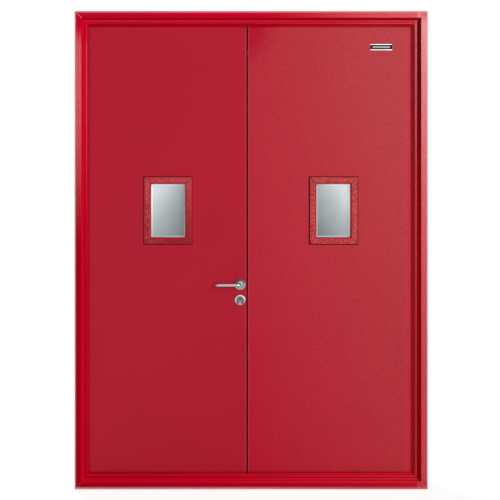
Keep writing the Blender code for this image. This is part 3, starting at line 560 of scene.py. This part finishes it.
def bead_sheen(graph, x, z, half, cloud, foot_sheen):
    """Painted sheen on a bead's grain: patchy, and less towards its lower right."""
    rising = graph.minus(graph.times(z, 0.6 / half.z), graph.times(x, 0.4 / half.x))
    sheen_fall = graph.remap(rising, -0.7, 0.3, foot_sheen, 1.0)
    return graph.times(graph.remap(cloud, 0.42, 0.60, 0.0, 0.54), sheen_fall)


def bead_edge_light_and_shade(graph, x, beside, right_edge):
    """The bead's outer slope in painted shade, with a colour of its own on the right, which is
    painted light on the left bead.
    """
    on_right = graph.remap(beside, BEAD_INNER_SLOPE, BEAD_INNER_SLOPE + BEAD_FACE)
    on_right = graph.times(on_right, graph.math("GREATER_THAN", x, 0.0))
    return graph.mix(on_right, BEAD_EDGE_PAINTED_SHADE, right_edge)


def bead_paint(name, centre, half, low_colour, high_colour, right_edge, foot_sheen):
    """Red paint over a pressed leather grain, with painted light, sheen and shade on its face
    and slopes, and deeper in its mitres.
    """
    made, graph, shader, coords = start_material(name, 0.42, specular=0.2)
    cells = graph.add("TexVoronoi", {"Vector": coords, "Scale": 170, "Randomness": 1.0},
                      feature="SMOOTH_F1")
    cloud = graph.noise(coords, 125, 4.0, 0.65)
    across, up = graph.place(coords)
    x = graph.minus(across, centre.x)
    z = graph.minus(up, centre.z)
    beside = graph.minus(graph.absolute(x), half.x)
    above = graph.minus(graph.absolute(z), half.z)
    outwards = graph.most(beside, above)
    face_end = BEAD_INNER_SLOPE + BEAD_FACE

    # Painted light: the face's colour from low to high, lighter at the top on the left bead
    colour = graph.mix(graph.remap(z, -half.z, half.z), low_colour, high_colour)
    grain_sheen = bead_sheen(graph, x, z, half, cloud, foot_sheen)
    apart = graph.absolute(graph.minus(beside, above))
    joint = graph.remap(apart, 0.8 * MM, 3.4 * MM, 0.66, 0.0, smooth=True)
    inner = graph.remap(outwards, BEAD_INNER_SLOPE, BEAD_INNER_SLOPE + 1.5 * MM, 1.0, 0.0)
    outer = graph.remap(outwards, face_end - 0.5 * MM, face_end + 0.5 * MM)
    colour = graph.layered(colour, (grain_sheen, BEAD_PAINTED_SHEEN), (joint, BEAD_JOINT),
                           (inner, BEAD_INNER_PAINTED_LIGHT),
                           (outer, bead_edge_light_and_shade(graph, x, beside, right_edge)))
    graph.feed(shader.inputs["Base Color"], colour)
    relief = graph.plus(cells.outputs["Distance"], graph.times(cloud, 0.8))
    graph.feed(shader.inputs["Normal"], graph.bump(relief, 0.5 * MM, 0.7))
    return made


# Metal, rubber, glass and enamel

# Colours of the turned discs, by the share of their radius; their white bands are painted
# highlights
ROSE_STOPS = (
    (0.0, rgb(0.92, 0.92, 0.94)),
    (0.46, rgb(0.92, 0.92, 0.94)),
    (0.58, rgb(0.22, 0.32, 0.30)),
    (0.80, rgb(0.26, 0.40, 0.37)),
    (0.92, rgb(0.52, 0.68, 0.65)),
    (1.0, rgb(0.42, 0.56, 0.54)),
)
ESCUTCHEON_STOPS = (
    (0.0, rgb(0.20, 0.17, 0.16)),
    (0.64, rgb(0.22, 0.18, 0.17)),
    (0.76, rgb(0.44, 0.54, 0.52)),
    (0.86, rgb(0.86, 0.94, 0.93)),
    (0.94, rgb(0.86, 0.94, 0.93)),
    (1.0, rgb(0.50, 0.62, 0.60)),
)
# Painted light at the cylinder's foot and painted shade towards its plug
BRASS_PAINTED_LIGHT = rgb(0.62, 0.56, 0.52)
BRASS_PAINTED_SHADE = rgb(0.22, 0.19, 0.15)
PLUG_RING = rgb(0.06, 0.05, 0.04)
# Painted reflection in the glass, from dark to pale
GLASS_REFLECTION_DARK = rgb(0.125, 0.155, 0.160)
GLASS_REFLECTION_MIDDLE = rgb(0.355, 0.405, 0.420)
GLASS_REFLECTION_PALE = rgb(0.74, 0.82, 0.84)
# Painted reflection on the glass's edge strip
EDGE_REFLECTION_TEAL = rgb(0.35, 0.56, 0.55)
EDGE_REFLECTION_WHITE = rgb(0.82, 0.94, 0.94)
ENAMEL_DARK = rgb(0.004, 0.005, 0.007)
ENAMEL_PALE = rgb(0.012, 0.014, 0.018)


def metal(name, colour, roughness, streak_scale, streaks=0.1):
    """Satin metal, brushed along the scale's long axis."""
    made, graph, shader, coords = start_material(name, roughness, 1.0)
    stretch = graph.add("Mapping", {"Vector": coords, "Scale": streak_scale}).outputs[0]
    brush = graph.noise(stretch, 1.0, 4.0, 0.7)
    shade = graph.remap(brush, 0.25, 0.75, 1 - streaks, 1 + streaks)
    graph.feed(shader.inputs["Base Color"], graph.shaded(colour, shade))
    rough = graph.remap(brush, 0.25, 0.75, roughness - 0.06, roughness + 0.06)
    graph.feed(shader.inputs["Roughness"], rough)
    graph.feed(shader.inputs["Normal"], graph.bump(brush, 0.02 * MM))
    return made


def turned_metal(name, centre, stops, shade_way, shade_amount):
    """A turned steel disc, toned by distance from its axis with painted highlights, and with
    painted shade along one way.
    """
    made, graph, shader, coords = start_material(name, 0.28, 1.0)
    across, up = graph.place(coords)
    x = graph.minus(across, centre.x)
    z = graph.minus(up, centre.z)
    flat = graph.add("CombineXYZ", {0: x, 2: z}).outputs[0]
    radius = graph.length(flat)
    ramp = graph.add("ValToRGB", {0: graph.math("DIVIDE", radius, DISC_RADIUS)})
    elements = ramp.color_ramp.elements
    elements[0].position, elements[0].color = stops[0]
    elements[1].position, elements[1].color = stops[-1]
    for place, colour in stops[1:-1]:
        elements.new(place).color = colour

    rings = graph.add("TexNoise", {"W": graph.times(radius, 2500), "Detail": 2.0},
                      noise_dimensions="1D").outputs["Fac"]
    beyond = graph.along(flat, shade_way)
    # Painted shade along one way
    painted_shade = graph.times(graph.remap(beyond, -4 * MM, 16 * MM, smooth=True),
                       graph.remap(radius, 15 * MM, 19 * MM))
    shade = graph.times(graph.spread(rings, 0.94, 1.06),
                        graph.remap(painted_shade, 0.0, 1.0, 1.0, 1 - shade_amount))
    graph.feed(shader.inputs["Base Color"], graph.shaded(ramp.outputs["Color"], shade))
    graph.feed(shader.inputs["Normal"], graph.bump(rings, 0.02 * MM))
    return made


def cylinder_metal(name, low, high):
    """Nickel brass of the cylinder, with painted shade round the key's slot and painted light
    at its foot.
    """
    made, graph, shader, coords = start_material(name, 0.34, 1.0)
    across, z = graph.place(coords)
    x = graph.minus(across, (low.x + high.x) / 2)
    plug_z = high.z - (high.x - low.x) / 2
    colour = graph.mix(graph.remap(z, low.z + 3 * MM, plug_z - 2 * MM), BRASS_PAINTED_LIGHT, BRASS_PAINTED_SHADE)
    flat = graph.add("CombineXYZ", {0: x, 2: graph.minus(z, plug_z)}).outputs[0]
    apart = graph.absolute(graph.minus(graph.length(flat), PLUG_RING_RADIUS))
    ring = graph.remap(apart, 0.3 * MM, 0.9 * MM, 1.0, 0.0)
    scratch = graph.noise(coords, 900, 2.0)
    graph.feed(shader.inputs["Base Color"], graph.mix(ring, colour, PLUG_RING))
    graph.feed(shader.inputs["Roughness"], graph.spread(scratch, 0.28, 0.40))
    graph.feed(shader.inputs["Normal"], graph.bump(scratch, 0.02 * MM))
    return made


def rubber(name, colour, scale=400, specular=0.1):
    """A dull, finely grained seal."""
    made, graph, shader, coords = start_material(name, 0.85, specular=specular)
    grain = graph.noise(coords, scale, 3.0)
    paler = rgb(*(2.2 * channel for channel in colour[:3]))
    graph.feed(shader.inputs["Base Color"],
               graph.mix(graph.spread(grain, 0.0, 1.0), colour, paler))
    graph.feed(shader.inputs["Normal"], graph.bump(grain, 0.1 * MM))
    return made


def corner_share(graph, coords, centre, half, side):
    """1 in the sight's upper outer corner, 0 in its lower inner one."""
    across = graph.along(coords, (side / (2 * half.x), 0, 1 / (2 * half.z)),
                         -side * centre.x / (2 * half.x) - centre.z / (2 * half.z))
    return graph.plus(graph.times(across, 0.5), 0.5, clamp=True)


def glass(name, centre, half, side):
    """Thick fire glass with a painted silvery reflection, paler towards the upper outer corner.
    """
    made, graph, shader, coords = start_material(name, 0.06, specular=0.5)
    share = corner_share(graph, coords, centre, half, side)
    reflection_wobble = graph.spread(graph.noise(coords, 9, 2.0), -0.03, 0.03)
    ramp = graph.add("ValToRGB", {0: graph.plus(share, reflection_wobble, clamp=True)})
    stops = ramp.color_ramp.elements
    stops[0].position, stops[0].color = 0.0, GLASS_REFLECTION_DARK
    stops[1].position, stops[1].color = 1.0, GLASS_REFLECTION_PALE
    stops.new(0.5).color = GLASS_REFLECTION_MIDDLE
    graph.feed(shader.inputs["Base Color"], ramp.outputs["Color"])
    wave = graph.noise(coords, 4, 1.0)
    graph.feed(shader.inputs["Normal"], graph.bump(wave, 0.4 * MM, 0.5))
    shader.inputs["IOR"].default_value = 1.5
    return made


def glass_edge(name, centre, half, side):
    """The ground edge strip round the glass, with a painted reflection: white at the outer top
    and teal below.
    """
    made, graph, shader, coords = start_material(name, 0.3, specular=0.5)
    share = corner_share(graph, coords, centre, half, side)
    frost = graph.noise(coords, 300, 2.0)
    share = graph.plus(share, graph.spread(frost, -0.05, 0.05))
    colour = graph.mix(graph.remap(share, 0.42, 0.85, smooth=True), EDGE_REFLECTION_TEAL, EDGE_REFLECTION_WHITE)
    graph.feed(shader.inputs["Base Color"], colour)
    graph.feed(shader.inputs["Normal"], graph.bump(frost, 0.05 * MM))
    return made


def plate_field(name):
    """Black enamel of the bare plate, faintly clouded."""
    made, graph, shader, coords = start_material(name, 0.45, specular=0.1)
    cloud = graph.noise(coords, 60, 3.0)
    graph.feed(shader.inputs["Base Color"], graph.mix(cloud, ENAMEL_DARK, ENAMEL_PALE))
    return made


# All the materials


def node_centre(node):
    """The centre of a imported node's box."""
    low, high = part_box(node)
    return (low + high) / 2


def build_paints():
    _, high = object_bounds()
    return {
        # The left leaf is toned a little paler towards its left side, painted light that evens
        # out the lamps' fall-off; the right leaf is toned paler and pinker towards its upper
        # right, painted sheen.
        "left_paint": paint("left_leaf_paint", rgb(0.380, 0.0090, 0.024),
                            rgb(0.388, 0.011, 0.027), ((-1.2, 0, 0.0), 0.0),
                            roughness=0.5, specular=0.12, peel=0.03 * MM, grain=0.012),
        "right_paint": paint("right_leaf_paint", rgb(0.41, 0.005, 0.022),
                             rgb(0.405, 0.036, 0.044), ((0.75, 0, 0.18), 0.0),
                             roughness=0.42, specular=0.15, peel=0.30 * MM, grain=0.15,
                             gap_corner_shade=0.97),
        "frame_paint": frame_paint("frame_paint", high),
        "field": plate_field("plate_enamel"),
    }


def build_metals():
    return {
        "rose": turned_metal("rose_steel", node_centre("lever_rose_front"), ROSE_STOPS,
                             (0, 0, 1), 0.72),
        "escutcheon": turned_metal("escutcheon_steel", node_centre("cylinder_escutcheon_front"),
                                   ESCUTCHEON_STOPS, (0.1, 0, -0.99), 0.70),
        "cylinder": cylinder_metal("cylinder_brass", *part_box("lock_cylinder")),
        "steel": metal("satin_stainless", rgb(0.66, 0.70, 0.69), 0.3, (60, 60, 900)),
        "lever": metal("lever_stainless", rgb(0.50, 0.60, 0.57), 0.26, (60, 60, 900)),
        "lock": metal("lock_steel", rgb(0.22, 0.21, 0.21), 0.36, (60, 60, 900)),
        "brass": metal("nickel_brass", rgb(0.46, 0.41, 0.36), 0.34, (500, 60, 500)),
        "screw": metal("screw_steel", rgb(0.62, 0.62, 0.60), 0.3, (900, 900, 900), 0.15),
        "rim": metal("plate_rim", rgb(0.74, 0.76, 0.78), 0.28, (30, 900, 900), 0.05),
        "pale": metal("plate_strip", rgb(0.24, 0.22, 0.22), 0.45, (30, 900, 900), 0.05),
    }


def build_rubbers():
    return {
        "seal": rubber("black_seal", rgb(0.012, 0.011, 0.012)),
        # The meeting seals, gap blocks and lip are a deep red that stands for the shade in the
        # meeting gap
        "gap_seal_shade": rubber("gap_painted_shade_seal", rgb(0.100, 0.0002, 0.0010), specular=0.0),
        "strip": rubber("fire_strip", rgb(0.035, 0.036, 0.038), 900),
    }


def build_glazing_materials():
    made = {}
    for side, label in SIDE_NAMES.items():
        centre, half = sight(label)
        made[label + "_glass"] = glass(label + "_fire_glass", centre, half, side)
        made[label + "_bead"] = bead_paint(label + "_leather_grain_paint", centre, half,
                                           *BEAD_COLOURS[side])
        made[label + "_edge"] = glass_edge(label + "_glass_edge", centre, half, side)
    return made


def build_materials():
    return {**build_paints(), **build_metals(), **build_rubbers(),
            **build_glazing_materials()}


# Meshes


def finish_mesh(name, mesh, material, body, smooth=35):
    """An object from a bmesh, in place in the row's frame, riding on its body."""
    bmesh.ops.recalc_face_normals(mesh, faces=mesh.faces)
    data = bpy.data.meshes.new(name)
    mesh.to_mesh(data)
    mesh.free()
    data.materials.append(material)
    data.shade_smooth()
    data.set_sharp_from_angle(angle=math.radians(smooth))
    made = bpy.data.objects.new(name, data)
    bpy.context.scene.collection.objects.link(made)
    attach(made, body)
    return made


def add_loft(mesh, loops):
    """Skin loops of equal length, with a cap at both ends."""
    rows = [[mesh.verts.new(point) for point in loop] for loop in loops]
    count = len(rows[0])
    mesh.faces.new(rows[0])
    mesh.faces.new(rows[-1][::-1])
    for first, second in zip(rows, rows[1:]):
        for index in range(count):
            after = (index + 1) % count
            mesh.faces.new((first[index], first[after], second[after], second[index]))


def arc(centre, radius, start, end, steps):
    """Points on an arc, with angles in degrees."""
    angles = [math.radians(start + (end - start) * step / steps) for step in range(steps + 1)]
    return [(centre[0] + radius * math.cos(a), centre[1] + radius * math.sin(a))
            for a in angles]


# Glazing


def bead_box(label, face):
    """The box of one bead, with its upright edges where the photograph shows them."""
    low, high = (Vector(corner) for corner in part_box(f"{label}_vision_bead_{face}"))
    low.x += BEAD_MOVES[label][0]
    high.x += BEAD_MOVES[label][1]
    return low, high


def sight(label):
    """Centre and half size of one leaf's sight opening, from its front bead."""
    low, high = bead_box(label, "front")
    border = bead_width(label)
    half = Vector(((high.x - low.x) / 2 - border, 0, (high.z - low.z) / 2 - border))
    return (low + high) / 2, half


def bead_width(label):
    """The width of a bead's solid, from its outer edge to the sight opening."""
    pane_low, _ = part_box(label + "_vision_glass")
    low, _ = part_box(label + "_vision_bead_front")
    return (pane_low.x + GLASS_BITE) - low.x


def bead_profile(outer, leg_end):
    """The bead's section with rounded face edges, from its outer foot to its leg."""
    face_out = BEAD_INNER_SLOPE + BEAD_FACE - BEAD_ROUND / 2
    face_in = BEAD_INNER_SLOPE + BEAD_ROUND / 2
    return [
        (outer, SEAT),
        *arc((face_out, BEAD_HEIGHT - BEAD_ROUND), BEAD_ROUND, 30, 90, 3),
        *arc((face_in, BEAD_HEIGHT - BEAD_ROUND), BEAD_ROUND, 90, 140, 3),
        (0, BEAD_HEIGHT - BEAD_STEP),
        (0, leg_end),
        (BEAD_LEG, leg_end),
        (BEAD_LEG, SEAT),
    ]


def bar_ends(profile, half, quarter, gap):
    """The two mitred end loops of one bar; quarter 0 is the sill side, then anticlockwise."""
    spans = (half.x, half.z, half.x, half.z)
    reach = (half.z, half.x, half.z, half.x)
    length, away = spans[quarter], reach[quarter]
    turn = Matrix.Rotation(-quarter * math.pi / 2, 3, "Y")
    loops = []
    for end in (-1, 1):
        loop = []
        for out, height in profile:
            along = end * (length + out - gap / 2)
            loop.append(turn @ Vector((along, height, -(away + out))))
        loops.append(loop)
    return loops


def bars_round_sight(label, profile, plane_y, outward, gap=0.0):
    """A mesh of four mitred bars round one sight opening, standing on the plane."""
    centre, half = sight(label)
    mesh = bmesh.new()
    for quarter in range(4):
        loops = bar_ends(profile, half, quarter, gap)
        placed = [[Vector((centre.x + p.x, plane_y + outward * p.y, centre.z + p.z))
                   for p in loop] for loop in loops]
        add_loft(mesh, placed)
    return mesh


def build_bead(label, face, outward, plane_y, materials):
    """Four mitred bars that stand for one glazing bead."""
    node = f"{label}_vision_bead_{face}"
    low, high = bead_box(label, face)
    _, half = sight(label)
    outer = (high.x - low.x) / 2 - half.x
    leg_end = -((high.y - low.y) - BEAD_HEIGHT)
    mesh = bars_round_sight(label, bead_profile(outer, leg_end), plane_y, outward,
                            BEAD_MITRE_GAP)
    bead = finish_mesh(f"{label}_bead_{face}_bars", mesh, materials[label + "_bead"],
                       label + "_leaf", smooth=50)
    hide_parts(node)


def build_edge_strip(label, face, outward, materials):
    """The bevelled edge strip round the glass, inside the bead."""
    low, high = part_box(label + "_vision_glass")
    plane_y = low.y if outward < 0 else high.y
    profile = [(-SEAT, 0), (-SEAT, EDGE_STRIP_RISE), (-EDGE_STRIP_WIDTH, EDGE_STRIP_TIP),
               (-EDGE_STRIP_WIDTH, 0)]
    mesh = bars_round_sight(label, profile, plane_y, outward)
    finish_mesh(f"{label}_glass_edge_{face}", mesh, materials[label + "_edge"],
                label + "_leaf", smooth=20)


def build_glazing(materials):
    """Beads and edge strips on both faces of both leaves."""
    for label in SIDE_NAMES.values():
        low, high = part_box(label + "_leaf_panel")
        for face, outward, plane_y in (("front", -1, low.y), ("back", 1, high.y)):
            build_bead(label, face, outward, plane_y, materials)
            build_edge_strip(label, face, outward, materials)


# Meeting gap


def build_gap_blocks(materials):
    """A soft block at the head and foot of each meeting edge, clear of the other leaf, in the
    deep red that stands for the gap's shade.
    """
    for side, label in SIDE_NAMES.items():
        low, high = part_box(label + "_leaf_panel")
        edge = high.x if side == LEFT else low.x
        tip = edge - side * BLOCK_REACH[label]
        over = edge + side * BLOCK_OVER_LEAF
        depths = [low.y + depth for depth in BLOCK_DEPTHS[label]]
        for end, leaf_z, inwards in (("head", high.z, -1), ("foot", low.z, 1)):
            outer_z = leaf_z - inwards * BLOCK_PAST_LEAF
            inner_z = leaf_z + inwards * BLOCK_LENGTH
            root_z = leaf_z - inwards * SEAT
            outline = ((edge, inner_z), (tip, inner_z), (tip, outer_z), (over, outer_z),
                       (over, root_z), (edge, root_z))
            mesh = bmesh.new()
            add_loft(mesh, [[Vector((x, y, z)) for x, z in outline] for y in depths])
            finish_mesh(f"{label}_gap_block_{end}", mesh, materials["gap_seal_shade"],
                        label + "_leaf")


def build_meeting_lip(materials):
    """A thin lip on the right leaf's seal that closes the line of sight past the left one, in
    the deep red that stands for the gap's shade.
    """
    left_low, left_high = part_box("left_meeting_seal")
    right_low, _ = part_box("right_meeting_seal")
    tip = left_high.x - LIP_OVERLAP
    root = right_low.x + SEAT
    back = right_low.y + SEAT
    outline = ((tip, back - LIP_DEPTH), (root, back - LIP_DEPTH), (root, back),
               (tip, back - LIP_DEPTH / 2))
    mesh = bmesh.new()
    add_loft(mesh, [[Vector((x, y, z)) for x, y in outline]
                    for z in (left_low.z, left_high.z)])
    finish_mesh("right_meeting_lip", mesh, materials["gap_seal_shade"], "right_leaf")


# Bare plate


def rounded_rectangle(width, height, radius, steps=5):
    """Points round a rectangle with round corners, centred on the origin."""
    points = []
    for sign_x, sign_z, start in ((1, 1, 0), (-1, 1, 90), (-1, -1, 180), (1, -1, 270)):
        centre = (sign_x * (width / 2 - radius), sign_z * (height / 2 - radius))
        points += arc(centre, radius, start, start + 90, steps)
    return points


def build_layer(name, size, corner, back_y, depth, bevel, material):
    """A thin rounded layer of the plate, with a softened front edge."""
    loops = []
    for inset, rise in ((0.0, 0.0), (0.0, depth - bevel), (bevel, depth)):
        outline = rounded_rectangle(size[0] - 2 * inset, size[1] - 2 * inset,
                                    max(corner - inset, 0.2 * MM))
        loops.append([Vector((PLATE_CENTRE[0] + x, back_y - rise, PLATE_CENTRE[1] + z))
                      for x, z in outline])
    mesh = bmesh.new()
    add_loft(mesh, loops)
    finish_mesh(name, mesh, material, "right_leaf")


def build_plate(materials):
    """A bright rim, a black field and a plain pale strip, with nothing on them."""
    low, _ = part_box("right_leaf_panel")
    seat_y = low.y - SEAT
    build_layer("plate_rim", PLATE_SIZE, PLATE_CORNER, seat_y, PLATE_DEPTH, PLATE_BEVEL,
                materials["rim"])
    field = (PLATE_SIZE[0] - 2 * FIELD_INSET, PLATE_SIZE[1] - 2 * PLATE_RIM)
    build_layer("plate_field", field, FIELD_CORNER, seat_y - PLATE_DEPTH + 0.1 * MM,
                LAYER_DEPTH, LAYER_BEVEL, materials["field"])
    strip = (STRIP_SHARE[0] * field[0], STRIP_SHARE[1] * field[1])
    build_layer("plate_strip", strip, STRIP_CORNER, seat_y - PLATE_DEPTH - 0.3 * MM,
                LAYER_DEPTH, LAYER_BEVEL, materials["pale"])


# Screws


def screw_loop(radius, height, lobes):
    """One ring of a screw's outline, wavy with six lobes where it is in the socket."""
    angles = [2 * math.pi * index / SCREW_SIDES for index in range(SCREW_SIDES)]
    reaches = [radius * (1 + lobes * math.cos(6 * angle)) for angle in angles]
    return [Vector((reach * math.cos(angle), reach * math.sin(angle), height))
            for reach, angle in zip(reaches, angles)]


def add_screw(mesh, point, outward):
    """A flat head with a six-lobed socket; outward is the way that it faces."""
    turn = Vector((0, 0, 1)).rotation_difference(Vector(outward)).to_matrix()
    loops = [
        screw_loop(SCREW_RADIUS, -SCREW_DEPTH, 0),
        screw_loop(SCREW_RADIUS, SCREW_PROUD - 0.1 * MM, 0),
        screw_loop(SCREW_RADIUS - 0.15 * MM, SCREW_PROUD, 0),
        screw_loop(0.5 * SCREW_RADIUS, SCREW_PROUD, SOCKET_LOBES),
        screw_loop(0.48 * SCREW_RADIUS, SCREW_PROUD - SOCKET_DEPTH, SOCKET_LOBES),
    ]
    add_loft(mesh, [[Vector(point) + turn @ place for place in loop] for loop in loops])


def build_hinge_screws(materials):
    """Four screws in each hinge plate, in the faces that meet when a leaf is shut."""
    for side, label in SIDE_NAMES.items():
        panel_low, panel_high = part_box(label + "_leaf_panel")
        strip_low, strip_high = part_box("fire_strip_jamb_" + label)
        leaf_x = panel_low.x if side == LEFT else panel_high.x
        rebate_x = strip_low.x - SEAT if side == LEFT else strip_high.x + SEAT
        halves = (("frame_half", "frame", rebate_x, -side),
                  ("leaf_half", label + "_leaf", leaf_x, side))
        for half, body, face_x, facing in halves:
            mesh = bmesh.new()
            for level in ("low", "middle", "top"):
                low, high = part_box(f"{label}_hinge_{level}_{half}")
                plate_y = (low.y + panel_high.y) / 2
                for row, offset in enumerate(HINGE_SCREW_ROWS):
                    sway = HINGE_SCREW_SWAY if row % 2 else -HINGE_SCREW_SWAY
                    point = (face_x, plate_y + sway, (low.z + high.z) / 2 + offset)
                    add_screw(mesh, point, (facing, 0, 0))
            finish_mesh(f"{label}_hinge_{half}_screws", mesh, materials["screw"], body)


def build_edge_screws(materials):
    """Screws at both ends of the plates in the meeting edges."""
    groups = {
        "lock_screws": (("mortise_lock",), "left_leaf", RIGHT),
        "strike_screws": (("strike_plate",), "right_leaf", LEFT),
        "flush_bolt_screws": (("flush_bolt_top", "flush_bolt_bottom"), "right_leaf", LEFT),
    }
    for name, (nodes, body, facing) in groups.items():
        mesh = bmesh.new()
        for node in nodes:
            low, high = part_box(node)
            face_x = high.x if facing > 0 else low.x
            for z in (low.z + EDGE_SCREW_INSET, high.z - EDGE_SCREW_INSET):
                add_screw(mesh, (face_x, (low.y + high.y) / 2, z), (facing, 0, 0))
        finish_mesh(name, mesh, materials["screw"], body)


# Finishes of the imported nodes


def dress_nodes(frame, materials):
    """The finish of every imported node, by the start of its name; the rest are steel."""
    rules = (
        ("frame_", "frame_paint"), ("stop_seal_", "seal"), ("fire_strip_", "strip"),
        ("left_leaf_panel", "left_paint"), ("right_leaf_panel", "right_paint"),
        ("left_vision_glass", "left_glass"), ("right_vision_glass", "right_glass"),
        ("left_vision_bead", "left_bead"), ("right_vision_bead", "right_bead"),
        ("left_meeting_seal", "gap_seal_shade"), ("right_meeting_seal", "gap_seal_shade"),
        ("mortise_lock", "lock"), ("strike_plate", "lock"), ("flush_bolt", "lock"),
        ("lever_front", "lever"), ("lever_back", "lever"),
        ("lock_cylinder", "cylinder"), ("lock_latch", "brass"), ("lever_rose", "rose"),
        ("cylinder_escutcheon", "escutcheon"),
    )
    for name, item in frame["nodes"].items():
        key = next((finish for start, finish in rules if name.startswith(start)), "steel")
        item.data.materials.clear()
        item.data.materials.append(materials[key])


# Studio

WHITE = rgb(1.0, 1.0, 1.0)
BLACK = rgb(0.0, 0.0, 0.0)
AMBIENT = rgb(0.15, 0.15, 0.154)
FLOOR_DARK = rgb(0.80, 0.80, 0.80)
FLOOR_PALE = rgb(0.84, 0.84, 0.84)


def build_camera():
    """The photograph's camera, level and square on to the door."""
    data = bpy.data.cameras.new("camera")
    data.lens = CAMERA_LENS
    data.shift_x, data.shift_y = CAMERA_SHIFT
    camera = bpy.data.objects.new("camera", data)
    camera.location = CAMERA_POINT
    camera.rotation_euler = (math.radians(90), 0, 0)
    bpy.context.scene.collection.objects.link(camera)
    bpy.context.scene.camera = camera


def build_world():
    """White to the camera and through glass; for gloss, paler to the right and above."""
    world = bpy.data.worlds.new("studio")
    world.use_nodes = True
    bpy.context.scene.world = world
    graph = Graph(world.node_tree)
    background = world.node_tree.nodes["Background"]
    direction = graph.add("TexCoord").outputs["Generated"]
    split = graph.add("SeparateXYZ", {0: direction})
    rightward = graph.along(direction, (1.0, 0, 0.45))
    front = graph.remap(rightward, -0.30, 0.60, 0.30, 1.0, smooth=True)
    behind = graph.remap(split.outputs["Y"], -0.25, 0.25, smooth=True)
    gloss = graph.plus(graph.times(front, graph.minus(1.0, behind)), behind)
    paths = graph.add("LightPath")
    seen = graph.most(paths.outputs["Is Camera Ray"], paths.outputs["Is Transmission Ray"])
    light = graph.mix(paths.outputs["Is Glossy Ray"], AMBIENT, graph.grey(gloss))
    graph.feed(background.inputs["Color"], graph.mix(seen, light, WHITE))
    background.inputs["Strength"].default_value = 1.0


def area_light(name, location, side, power):
    """A square lamp that looks at the middle of the door and that no camera sees."""
    data = bpy.data.lights.new(name, "AREA")
    data.shape = "RECTANGLE"
    data.size, data.size_y = side, side
    data.energy = power
    light = bpy.data.objects.new(name, data)
    light.location = location
    aim = Vector(TARGET) - Vector(location)
    light.rotation_euler = aim.to_track_quat("-Z", "Y").to_euler()
    light.visible_camera = False
    bpy.context.scene.collection.objects.link(light)
    return light


def build_lights():
    """A key from the right, a fill from the front that no gloss shows, and a back lamp."""
    area_light("key", (4.3, -6.2, 3.9), 4.8, 255)
    fill = area_light("fill", (0.3, -6.6, 1.6), 3.0, 222)
    fill.visible_glossy = False
    area_light("back", (-2.6, 3.8, 3.0), 2.4, 180)


def floor_material():
    """Matt and pale; to the camera and in gloss, near white with a soft shadow."""
    made = bpy.data.materials.new("floor")
    made.use_nodes = True
    graph = Graph(made.node_tree)
    nodes = made.node_tree.nodes
    nodes.remove(nodes["Principled BSDF"])
    coords = graph.add("TexCoord").outputs["Object"]
    away = graph.length(coords)
    pale = graph.mix(graph.noise(coords, 1.5, 2.0), FLOOR_DARK, FLOOR_PALE)
    matt = graph.add("BsdfDiffuse", {"Color": pale})

    glow = graph.remap(away, SHADOW_WITHIN, WHITE_BEYOND, 0.86, 1.0, smooth=True)
    white = graph.add("Emission", {"Color": WHITE, "Strength": glow})
    fade = graph.remap(away, SHADOW_WITHIN, WHITE_BEYOND, 0.70, 1.0, smooth=True)
    shadowed = graph.add("BsdfDiffuse", {"Color": graph.mix(fade, pale, BLACK)})
    lit = graph.add("AddShader", {0: shadowed.outputs[0], 1: white.outputs[0]})

    paths = graph.add("LightPath")
    seen = graph.most(paths.outputs["Is Camera Ray"], paths.outputs["Is Transmission Ray"])
    seen = graph.most(seen, paths.outputs["Is Glossy Ray"])
    shown = graph.add("MixShader", {0: seen, 1: matt.outputs[0], 2: lit.outputs[0]})
    graph.feed(nodes["Material Output"].inputs["Surface"], shown.outputs[0])
    return made


def build_floor():
    """A floor that runs to the horizon, just under the door."""
    bpy.ops.mesh.primitive_plane_add(size=FLOOR_SIZE, location=(0, 0, -FLOOR_DROP))
    floor = bpy.context.object
    floor.name = "floor"
    floor.data.materials.append(floor_material())


def main():
    for item in list(bpy.data.objects):
        bpy.data.objects.remove(item, do_unlink=True)
    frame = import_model()
    bpy.context.scene.view_settings.view_transform = "Standard"
    build_camera()
    materials = build_materials()
    dress_nodes(frame, materials)
    build_glazing(materials)
    build_plate(materials)
    build_gap_blocks(materials)
    build_meeting_lip(materials)
    build_edge_screws(materials)
    build_hinge_screws(materials)
    build_world()
    build_lights()
    build_floor()


main()
